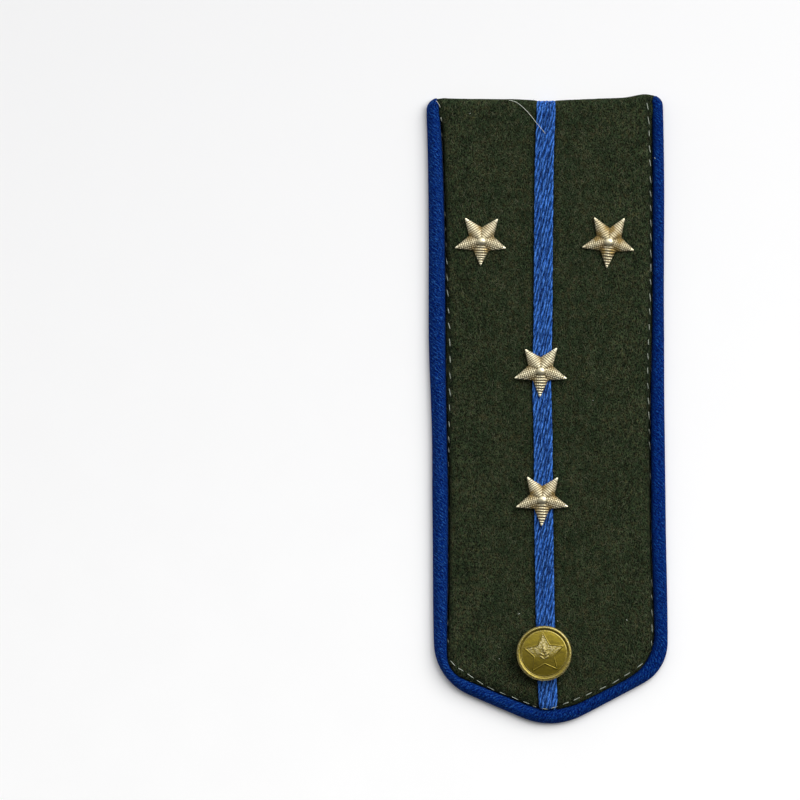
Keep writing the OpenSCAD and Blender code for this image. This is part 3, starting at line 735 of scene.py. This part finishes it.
# Piping
piping = {
    "crest": 3.0, "levels": 2, "crease": 0.8, "steps": 20, "full": 0.04, "outward": 0.24,
    # For the cloth's lay: the roll's middle above the floor, its radius, and where its flat foot ends
    "middle": 1.3, "girth": 1.6, "foot": 0.2,
    # The left end is tucked under the corner of the felt: how deep, from where, and the corner's edge
    "tuck": 1.2, "tuckY": 76, "tuckRun": 0.8, "tuckFloor": 0.3,
    "edgeX": -27.75, "edgeY": 79, "edgeSlope": 0.39, "edgeWide": 0.5,
}

bm = merged("piping")
crest = [v.co.copy() for v in bm.verts if v.co.z > (piping["crest"] - 0.002) * mm]
crest.sort(key=lambda p: math.atan2(-p.x, p.y) % (2 * math.pi))  # from the left end round the point
bmesh.ops.join_triangles(
    bm, faces=bm.faces, angle_face_threshold=math.radians(50), angle_shape_threshold=math.radians(60)
)
creases = bm.edges.layers.float.new("crease_edge")
for edge in bm.edges:
    if all(v.co.z < 0.01 * mm for v in edge.verts):
        edge[creases] = piping["crease"]
roll = newPiece("piping_roll", bm, [pipingCloth])
smooth = roll.modifiers.new("smooth", "SUBSURF")
smooth.levels = smooth.render_levels = piping["levels"]
applyModifiers(roll)

places = []
run = 0.0
steps = piping["steps"]
for a, b in zip(crest, crest[1:]):
    way = (b - a).to_2d().normalized()
    places.extend((a.lerp(b, k / steps), run + (b - a).length * k / steps, way) for k in range(steps))
    run += (b - a).length
crestTree = flatTree([place[0] for place in places])
lay = roll.data.attributes.new("lay", "FLOAT_VECTOR", "POINT")
normals = [v.normal.copy() for v in roll.data.vertices]
for v, normal, value in zip(roll.data.vertices, normals, lay.data):
    centre, at, way = places[crestTree.find((v.co.x, v.co.y, 0))[1]]
    off = v.co.to_2d() - centre.to_2d()
    outward = Vector((-way.y, way.x)) if way.length else Vector((1, 0))
    out = off.dot(outward)
    turn = math.atan2(-out, v.co.z - piping["middle"] * mm)
    value.vector = (at + off.dot(way), -turn * piping["girth"] * mm, 0)
    if v.co.z > piping["foot"] * mm:
        facing = max(0, -normal.to_2d().dot(outward))
        v.co += normal * (piping["full"] + piping["outward"] * facing) * mm
    high = ramp(v.co.y / mm, piping["tuckY"], piping["tuckRun"])
    edge = v.co.x / mm - piping["edgeX"] - piping["edgeSlope"] * (piping["edgeY"] - v.co.y / mm)
    inside = ramp(edge, 0, piping["edgeWide"])
    if v.co.x < 0 and high * inside > 0:
        lowest = min(v.co.z, piping["tuckFloor"] * mm)
        v.co.z = max(lowest, v.co.z - piping["tuck"] * high * inside * mm)
finished(roll, "piping_cloth", "piping")

# Stripe of twisted cords
stripe = {
    "cords": 3, "spacing": 1.53, "plies": 4, "yarns": 4, "phases": (0.4, 2.6, 1.1), "turn": 14.2,
    "half": 0.77, "deep": 0.38, "round": 0.5, "flat": 0.7, "dip": 0.9, "spread": 0.8, "yarn": 0.135,
    "step": 0.55, "wobble": 0.05, "endRun": 3, "endDip": 0.6, "narrow": 0.16, "taper": 0.6,
    # Where it goes down at its ends
    "lowY": -76.41, "topY": 77.854, "roll": 2.2, "seamZ": 1.6, "footZ": 0.75, "rise": 1.65, "over": 0.5,
    # Tones: the yarns' own tones with painted shade in the ply furrows, dark dashes of painted shade
    # between the cords, and the painted highlight on the edges
    "tones": (0.55, 1.0), "plyShade": 1.3, "dash": (0.6, 1.8), "dashShade": 0.95, "dashWide": 0.27,
    "edgeX": 2.15, "edgeWide": 0.3, "edgeHighlight": 0.2,
}


def cordToneShadeAndHighlight(x, at, base):
    # Painted shade darkens the yarns beside the gaps between the cords in broken dashes, and a painted
    # highlight lightens the stripe's edges
    s = stripe
    gap = abs(abs(x) - s["spacing"] / 2)
    stir = noise.noise(Vector((3 * math.copysign(1, x), at * 0.5, 0.5)))
    dash = min(1, max(0, s["dash"][0] + s["dash"][1] * stir))
    paintedEdgeLight = bell(abs(x), s["edgeX"], s["edgeWide"])
    dark = s["dashShade"] * bell(gap, 0, s["dashWide"]) * dash
    return min(1, base * (1 - dark) + s["edgeHighlight"] * paintedEdgeLight)


def stripeRoute():
    # (y, z, lean of the face) over the felt, rolled down at both ends
    s = stripe
    route = []
    for a in range(38, 90, 8):
        turn = math.radians(a)
        y = s["lowY"] + s["roll"] * (1 - math.cos(turn))
        route.append((y, s["seamZ"] + s["rise"] * math.sin(turn), math.pi - turn))
    low, top = s["lowY"] + s["roll"], s["topY"] - s["roll"]
    for k in range(81):
        route.append((low + (top - low) * k / 80, s["seamZ"] + s["rise"], math.pi / 2))
    for a in range(80, -1, -10):
        turn = math.radians(a)
        y = s["topY"] - s["roll"] * (1 - math.cos(turn))
        route.append((y, s["seamZ"] + s["rise"] * math.sin(turn), turn))
    route.append((s["topY"], s["footZ"], 0.0))
    points = []
    for y, z, turn in route:
        up = Vector((0, math.cos(turn), math.sin(turn)))
        x = between(stripeLine, y * mm) / mm
        points.append((Vector((x, y, z)) + up * s["over"], up))
    even = []
    left = 0.0
    for (a, upA), (b, upB) in zip(points, points[1:]):
        length = (b - a).length
        while left < length:
            even.append((a.lerp(b, left / length), upA.lerp(upB, left / length).normalized()))
            left += s["step"]
        left -= length
    return even


def yarn(route, c, p, j):
    # One yarn of a ply of a cord, with the tone of each of its points, painted shade and highlight
    # included
    s = stripe
    offset = (c - (s["cords"] - 1) / 2) * s["spacing"]
    beside = (j + 0.5) / s["yarns"] * 2 - 1  # 0 in the middle of a ply, -1 and 1 in its furrows
    start = 2 * math.pi * (p + beside * s["spread"] / 2) / s["plies"] + s["phases"][c]
    # Painted shade: the yarns darken towards the ply's furrows
    base = random.uniform(*s["tones"]) * (1 - abs(beside) ** s["plyShade"])
    zigzag = (1 - s["round"]) * 2 / math.pi
    line, row = [], []
    for i, (point, up) in enumerate(route):
        at = i * s["step"]
        left = (len(route) - 1 - i) * s["step"]
        turn = start - 2 * math.pi * at / s["turn"]
        slide = zigzag * math.asin(math.cos(turn)) + s["round"] * math.cos(turn)
        lift = math.copysign(abs(math.sin(turn)) ** s["flat"], math.sin(turn))
        lift *= 1 - s["dip"] * abs(beside) ** 2
        lift *= 1 - s["endDip"] * bell(left, 0, s["endRun"])
        wobble = s["wobble"] * noise.noise(Vector((c * 3.1, p * 1.7 + j * 0.37, at * 0.5)))
        narrower = 1 - s["narrow"] * max(0, 1 - at / s["endRun"]) ** 2
        x = (offset + s["half"] * slide + wobble) * narrower
        place = point + Vector((x, 0, 0)) + up * s["deep"] * lift
        line.append((place * mm, 0.7 + 0.3 * min(1, min(at, left) / s["taper"])))
        row.append(cordToneShadeAndHighlight(x, at, base))
    return line, row


route = stripeRoute()
yarns = [
    yarn(route, c, p, j)
    for c in range(stripe["cords"]) for p in range(stripe["plies"]) for j in range(stripe["yarns"])
]
mesh = strands("stripe_cords", [y[0] for y in yarns], stripe["yarn"] * mm, 0, [y[1] for y in yarns])
finished(newPiece("stripe_cords", mesh, [cordYarn]), "stripe_braid", "stripe")

# What lies on top: felt, piping or cords
covers = bmesh.new()
for name in ("panel_felt", "piping_roll", "stripe_cords"):
    covers.from_mesh(bpy.data.objects[name].data)
coverTree = BVHTree.FromBMesh(covers)
covers.free()


def onTop(place, lift):
    spot = coverTree.ray_cast(Vector((place.x, place.y, 20 * mm)), Vector((0, 0, -1)))[0]
    return spot + Vector((0, 0, lift * mm)) if spot else None


# Stitches along the seam
stitches = {
    "thread": 0.084, "lift": 0.09, "dip": 0.16, "lean": 0.13, "leanStir": 0.06, "pitchStir": 0.7,
    "taper": 0.25, "share": (0.75, 1.1), "lowShare": (0.9, 1.1),
    # Rows down the sides, in pixels of the picture
    "right": {"edge": 650, "from": 106.4, "to": 655, "pitch": 14.9, "long": 8.2},
    "left": {"edge": 449, "from": 261.5, "to": 440, "pitch": 16.3, "long": 8.2},
    "faint": {"edge": 444, "from": 119.3, "to": 252, "pitch": 16.3, "long": 4.5},
    "hidden": {"edge": 448, "from": 450, "to": 655, "pitch": 16.3, "long": 5.0},
    # One stitch for each of these points of the seam, round the pointed end
    "low": (15, 33), "lowLong": 8.0,
}


def stitchAt(place, length, lean, dice):
    i = seamTree.find((place.x, place.y, 0))[1]
    a, b = seam[max(i - 4, 0)], seam[min(i + 4, len(seam) - 1)]
    way = (b - a).normalized()
    way.rotate(Euler((0, 0, dice.gauss(lean, stitches["leanStir"]))))
    line = []
    for k in range(9):
        t = k / 4 - 1
        p = seam[i] + way * (t * length / 2)
        spot = onTop(p, stitches["lift"] - (stitches["lift"] + stitches["dip"]) * abs(t) ** 4)
        if spot is None:
            return None
        line.append((spot, 1.0 - stitches["taper"] * abs(t) ** 3))
    return line


dice = random.Random(5)
lines = []
for side in ("right", "left", "faint", "hidden"):
    row = stitches[side]
    y = row["from"]
    while y < row["to"]:
        length = row["long"] * dice.uniform(*stitches["share"]) * picture["pitch"] * mm
        lines.append(stitchAt(seen((row["edge"], y)), length, stitches["lean"], dice))
        y += row["pitch"] + dice.gauss(0, stitches["pitchStir"])
for pixel in sewnLine[stitches["low"][0]:stitches["low"][1]]:
    length = stitches["lowLong"] * dice.uniform(*stitches["lowShare"]) * picture["pitch"] * mm
    lines.append(stitchAt(seen(pixel), length, 0, dice))
mesh = strands("stitches", [line for line in lines if line], stitches["thread"] * mm, 2)
finished(newPiece("stitches", mesh, [thread]), "felt")

# Post of a star and shank of the button
pinFoot = 0.4


def pin(bm, radius, segments, seat, high):
    # Goes down through the board, to just above the floor
    made = bmesh.ops.create_cone(
        bm, cap_ends=True, segments=segments, radius1=radius, radius2=radius, depth=1
    )
    for v in made["verts"]:
        v.co.z = high if v.co.z > 0 else (pinFoot * mm - seat) / mm


# Gilt stars
star = {
    "radius": 6.95, "notch": 3.3, "high": 1.8, "tip": 0.75, "low": 0.6, "roof": 2.0, "rim": 0.05,
    "blunt": 0.075, "along": 120, "across": 16, "weld": 0.0005, "post": 0.6, "wallTone": 0.6,
    # The grooves across the rays: their width, how they stray and bow, and the plain tips
    "groove": 0.25, "stir": 0.13, "bow": 0.03, "plainTip": 0.5, "plainRun": 0.3,
    # The brown between the rays, with its share on a new star and what wear or stain adds
    "valley": 0.4, "valleyTone": 0.4, "patina": 1.3, "patinaWorn": (0.8, 1.1), "patinaStain": (0.3, 1.2),
    # The boss stands a little off the middle, seen with the first ray pointing down
    "boss": 1.16, "bossHigh": 0.66, "bossSunk": 0.1, "bossAside": (0.08, -0.3),
    "bossTone": (0.24, 0.5), "bossPatina": 0.12,
    "worn": {"star_1": 0.1, "star_2": 0.5, "star_3": 0.0, "star_4": 0.2},
    # Rays in turn: lowest, right, upper right, upper left, left
    "pitch": (0.7, 0.5, 0.56, 0.56, 0.5), "depth": (0.15, 0.11, 0.1, 0.09, 0.11),
    "beads": (0.7, 1.0, 0.8, 0.6, 1.0),
    # Length of each ray and how far its tip is bent, in degrees
    "bent": {
        "star_1": ((0.92, 0), (0.94, 1), (0.98, 0), (1.0, 2), (1, 0)),
        "star_2": ((1, 0), (0.98, 1), (1, 5), (1, 0), (1, 0)),
        "star_3": ((0.99, -1), (1, 0), (1, 0), (0.94, 1), (1, 0)),
        "star_4": ((1, 0), (0.98, 2), (0.96, 1), (0.97, 0), (1, 1)),
    },
}


def rayBody(bm, name, k):
    s = star
    worn = s["worn"][name]
    long, bend = s["bent"][name][k]
    before = set(bm.verts)
    bmesh.ops.create_grid(bm, x_segments=s["along"], y_segments=s["across"], size=0.5)
    grid = [v for v in bm.verts if v not in before]
    notchX, notchY = s["notch"] * math.cos(math.radians(36)), s["notch"] * math.sin(math.radians(36))
    depth, ray = bm.verts.layers.float["depth"], bm.verts.layers.float_vector["ray"]
    free = s["radius"] - notchX
    for v in grid:
        t, side = v.co.x + 0.5, v.co.y * 2
        x = t * s["radius"]
        if x <= notchX:
            half = x * math.tan(math.radians(36))
            flank = s["high"] + (s["low"] - s["high"]) * x / notchX
        else:
            taper = s["blunt"] + (1 - s["blunt"]) * (s["radius"] - x) / free
            end = min(1, (s["radius"] - x) / (notchY * s["blunt"] * 1.1))
            half = notchY * taper * math.sqrt(max(0.03, 1 - (1 - end) ** 2))
            flank = s["low"] + (s["tip"] - s["low"]) * (x - notchX) / free
        ridgeZ = s["high"] + (s["tip"] - s["high"]) * t
        stir = s["stir"] * noise.noise(Vector((x * 1.4, side * 1.6, k * 2.3 + 7 * worn)))
        place = ((s["radius"] - x) / s["pitch"][k] + stir + s["bow"] * math.sin(side * 2)) % 1
        groove = bell(min(place, 1 - place), 0, s["groove"])
        fade = ramp(s["radius"] - x, s["plainTip"], s["plainRun"])
        joint = 1 - abs(side) ** 8 if x <= notchX else 1
        cut = s["depth"][k] * groove * fade * joint
        z = ridgeZ + (flank - ridgeZ) * abs(side) ** s["roof"] - cut - s["rim"] * abs(side) ** 6
        if t < 0.001:
            z = s["high"] - s["rim"]  # the rays meet in one point, under the boss
        v.co = Vector((x, side * half, z))
        valley = max(0, 1 - (half * (1 - abs(side))) / s["valley"]) if x < notchX * 1.1 else 0
        stain = 0.5 + 0.5 * noise.noise(Vector((x * 0.9, side * half * 0.9, 7.3 * worn + 1.7 + k)))
        fromNotch = Vector((x - notchX, abs(v.co.y) - notchY)).length
        fresh, older = s["patinaWorn"]
        clean, stained = s["patinaStain"]
        patina = bell(fromNotch, 0, s["patina"]) * (fresh + older * worn) * (clean + stained * stain)
        patina += worn * stain
        v[depth] = min(1, groove * fade + valley * s["valleyTone"])
        v[ray] = (v.co.y * mm, min(1, patina), s["beads"][k] * fade)
        if x > notchX:
            v.co.y += (x - notchX) * math.tan(math.radians(bend) * s["radius"] / free)
            v.co.x = notchX + (x - notchX) * (long * s["radius"] - notchX) / free
    return grid


def starMesh(name, seat):
    s = star
    bm = bmesh.new()
    depth = bm.verts.layers.float.new("depth")
    ray = bm.verts.layers.float_vector.new("ray")
    for k in range(5):
        turnAll(bm, rayBody(bm, name, k), math.radians(72 * k))
    bmesh.ops.remove_doubles(bm, verts=bm.verts, dist=s["weld"])
    outline = [e for e in bm.edges if e.is_boundary]
    walls = bmesh.ops.extrude_edge_only(bm, edges=outline)
    for g in walls["geom"]:
        if isinstance(g, bmesh.types.BMVert):
            g.co.z = 0
            g[depth] = s["wallTone"]
    bmesh.ops.holes_fill(bm, edges=[e for e in bm.edges if e.is_boundary], sides=0)
    bmesh.ops.recalc_face_normals(bm, faces=bm.faces)
    # The boss is a dome over the middle. The first ray lies along x here, so its place is turned too
    dome = bmesh.ops.create_uvsphere(bm, u_segments=40, v_segments=20, radius=s["boss"])["verts"]
    tone, deeper = s["bossTone"]
    for v in dome:
        v.co.z = v.co.z * s["bossHigh"] / s["boss"] + s["high"] - s["bossSunk"]
        v[depth] = tone + deeper * min(1, max(0, (s["high"] + 0.1 - v.co.z) * 5))
        v[ray] = (0, s["bossPatina"], 0)
    aside = Vector((*s["bossAside"], 0))
    aside.rotate(Euler((0, 0, math.pi / 2)))
    bmesh.ops.translate(bm, verts=dome, vec=aside)
    pin(bm, s["post"], 20, seat, s["high"] / 2)
    return bm


def placedStar(name):
    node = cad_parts[name].data
    points = [v.co for v in node.vertices]
    top = max(p.z for p in points)
    crown = [p for p in points if p.z > top - 0.01 * mm]
    centre = sum(crown, Vector()) / len(crown)
    far = max(points, key=lambda p: (p - centre).to_2d().length)
    reach = (far - centre).to_2d().length
    seat = min(p.z for p in points if (p - centre).to_2d().length > reach * 0.9)
    turn = math.atan2(far.y - centre.y, far.x - centre.x)
    # The lowest ray comes first
    turn += math.radians(72) * round((-math.pi / 2 - turn) / math.radians(72))
    bm = starMesh(name, seat)
    bmesh.ops.scale(bm, vec=(mm, mm, mm), verts=bm.verts)
    turnAll(bm, bm.verts, turn)
    bmesh.ops.translate(bm, verts=bm.verts, vec=(centre.x, centre.y, seat))
    finished(newPiece(name + "_gilt", bm, [starGilt]), "star_gilt", name)


for k in range(1, 5):
    placedStar(f"star_{k}")

# Button
button = {
    "radius": 7.05, "high": 3.1, "rimWide": 1.12, "rimAt": 0.8, "rimDeep": 0.29, "faceRise": 0.34,
    "shank": 1.3, "seatFrom": 3.5, "turn": 3.0, "rings": 40, "steps": 160, "weld": 0.004,
    "rimWorn": (0.6, 0.15), "starPalerUp": (0.35, 0.35),
    # The flat back and the side, in shares of the radius and of the height
    "side": [(0.3, 0), (0.55, 0), (0.9, 0.25), (0.98, 0.42)],
    # From the face's edge inwards: the groove beside the rim and the low ring, as (place, height)
    "groove": [(0.03, -0.04), (-0.06, -0.06), (-0.14, 0), (-0.22, 0.04), (-0.34, 0.04)],
    # Painted shade in the groove beside the rim, with the span it covers; then how far in the face's
    # rings start
    "grooveShade": 0.06, "grooveFrom": -0.1, "grooveTo": 0.06, "inner": 0.45,
    # The star: its reach and notch, the bead round it, its height and how soft its edge is
    "star": 5.15, "starNotch": 0.5, "line": 0.21, "plate": 0.13, "soft": 0.2,
    # The sprig: each leaf's turn, foot, length and width, in leaves
    "leaf": 1.9, "leafHigh": 0.34, "leafLift": 0.02, "leafWorn": 0.8,
    "leaves": [
        (0, 0, 1, 0.46), (55, -0.75, 0.8, 0.38), (-55, -0.75, 0.8, 0.38),
        (55, -0.3, 0.8, 0.38), (-55, -0.3, 0.8, 0.38),
    ],
}


def faceZ(r):
    b = button
    share = min(1, r / (b["radius"] - b["rimWide"]))
    return b["high"] - b["rimDeep"] + b["faceRise"] * (1 - share * share)


def insideStar(x, y):
    # 1 on the raised star, 0 beside it
    b = button
    turn = abs((math.atan2(y, x) - math.pi / 2 + math.pi / 5) % (2 * math.pi / 5) - math.pi / 5)
    here = Vector((math.hypot(x, y) * math.cos(turn), math.hypot(x, y) * math.sin(turn)))
    point = Vector((b["star"], 0))
    notch = b["star"] * b["starNotch"] * Vector((math.cos(math.pi / 5), math.sin(math.pi / 5)))
    way = (notch - point).normalized()
    outward = Vector((way.y, -way.x))
    if outward.dot(point) < 0:
        outward = -outward
    return min(1, max(0, 0.5 - (here - point).dot(outward) / b["soft"]))


def buttonMesh(seat):
    b = button
    bm = bmesh.new()
    depth, worn = bm.verts.layers.float.new("depth"), bm.verts.layers.float.new("worn")
    r, face = b["radius"], b["radius"] - b["rimWide"]
    # The back and the side, then the rim, the groove and the domed face
    profile = [(0.001, 0)] + [(r * out, b["high"] * up) for out, up in b["side"]]
    for a in range(0, 144, 11):
        turn = math.radians(a)
        profile.append((
            r - b["rimWide"] / 2 * (1 - math.cos(turn)),
            b["high"] * (b["rimAt"] + (1 - b["rimAt"]) * math.sin(turn)),
        ))
    profile += [(face + out, faceZ(face) + up) for out, up in b["groove"]]
    inner = face - b["inner"]
    rings = [inner * k / b["rings"] for k in range(b["rings"], 0, -1)]
    profile += [(ring, faceZ(ring)) for ring in rings]
    profile.append((0.001, faceZ(0)))
    chain = [bm.verts.new((x, 0, z)) for x, z in profile]
    # Painted shade in the groove beside the rim
    for v in chain:
        if face + b["grooveFrom"] < v.co.x < face + b["grooveTo"]:
            v[depth] = b["grooveShade"]
    edges = [bm.edges.new(pair) for pair in zip(chain, chain[1:])]
    bmesh.ops.spin(
        bm, geom=chain + edges, cent=(0, 0, 0), axis=(0, 0, 1), angle=2 * math.pi,
        steps=b["steps"], use_merge=True,
    )
    bmesh.ops.remove_doubles(bm, verts=bm.verts, dist=b["weld"])
    bmesh.ops.recalc_face_normals(bm, faces=bm.faces)
    # The star's arms turn paler and rougher towards the top
    least, gain = b["starPalerUp"]
    for v in bm.verts:
        if v.co.z > b["high"] * 0.6 and v.co.to_2d().length < inner:
            share = insideStar(v.co.x, v.co.y)
            v.co.z += b["plate"] * share
            v[worn] = share * min(1, max(0, least + gain * v.co.y))
        elif v.co.z > b["high"] * 0.8:
            outside = v.co.to_2d().length > r - b["rimWide"] * 0.45
            v[worn] = b["rimWorn"][0 if outside else 1]
    for turn, foot, length, width in b["leaves"]:
        leaf = bmesh.ops.create_uvsphere(bm, u_segments=20, v_segments=12, radius=0.5)["verts"]
        for v in leaf:
            pointed = 1 - abs(v.co.y * 2) ** 1.6 * 0.5
            shape = Vector((v.co.x * width * pointed * 1.2, v.co.y + 0.5, v.co.z * b["leafHigh"]))
            v.co = shape * b["leaf"] * length
            v[worn] = b["leafWorn"]
        turnAll(bm, leaf, math.radians(turn))
        for v in leaf:
            v.co.y += foot * b["leaf"]
            v.co.z += faceZ(v.co.to_2d().length) + b["plate"] + b["leafLift"]
    pin(bm, b["shank"], 28, seat, b["high"] / 2)
    return bm


def placeButton():
    b = button
    points = [v.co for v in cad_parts["button"].data.vertices]
    low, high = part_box("button")
    centre = Vector(((low.x + high.x) / 2, (low.y + high.y) / 2))
    seat = min(p.z for p in points if (p.to_2d() - centre).length > b["seatFrom"] * mm)
    bm = buttonMesh(seat)
    # The star's raised outline is a bead laid on the face
    corners = []
    for i in range(10):
        reach = b["star"] * (1 if i % 2 == 0 else b["starNotch"])
        turn = math.radians(90 + 36 * i)
        corners.append(Vector((reach * math.cos(turn), reach * math.sin(turn), 0)))
    line = []
    for a, c in zip(corners, corners[1:] + corners[:1]):
        for k in range(6):
            p = a.lerp(c, k / 6)
            line.append((Vector((p.x, p.y, faceZ(p.length) + b["plate"] / 2)), 1))
    line.append(line[0])
    bead = strands("bead", [line], b["line"], 3)
    bm.from_mesh(bead)
    turnAll(bm, bm.verts, math.radians(b["turn"]))
    bmesh.ops.scale(bm, vec=(mm, mm, mm), verts=bm.verts)
    bmesh.ops.translate(bm, verts=bm.verts, vec=(centre.x, centre.y, seat))
    finished(newPiece("button_gilt", bm, [buttonGilt]), "button_gilt", "button")


placeButton()

# Lint
lint = {
    # Places in the picture
    "hair": [(509, 100.2), (512, 100.6), (515.5, 101.8), (518.2, 103.4), (520.8, 105.4), (524, 108.3),
             (526.7, 111), (531.7, 116.7), (536.7, 123.3), (541.7, 129.2), (545.3, 133.7)],
    "short": [(435.9, 100.8), (437.4, 101.8), (439, 104.2), (440.2, 107.4)],
    "specks": [(470.3, 113.4), (519, 614), (558, 621), (499, 659), (627, 620), (593, 400), (655, 158)],
    "hairThick": 0.062, "hairLift": 0.22, "speckThick": 0.065, "speckLift": 0.08,
}
dice = random.Random(9)
hairs = [
    [(onTop(seen(pixel), lint["hairLift"]), lint["hairThick"]) for pixel in lint[name]]
    for name in ("hair", "short")
]
for pixel in lint["specks"]:
    ends = [(pixel[0] + dice.uniform(-1, 1), pixel[1] + dice.uniform(-1, 1)) for _ in range(2)]
    places = [onTop(seen(end), lint["speckLift"]) for end in (ends[0], pixel, ends[1])]
    hairs.append([(place, lint["speckThick"]) for place in places])
hairs = [[point for point in hair if point[0]] for hair in hairs]
mesh = strands("lint", [hair for hair in hairs if len(hair) > 1], mm, 1)
finished(newPiece("lint", mesh, [hairTone]), "felt")

print("done")
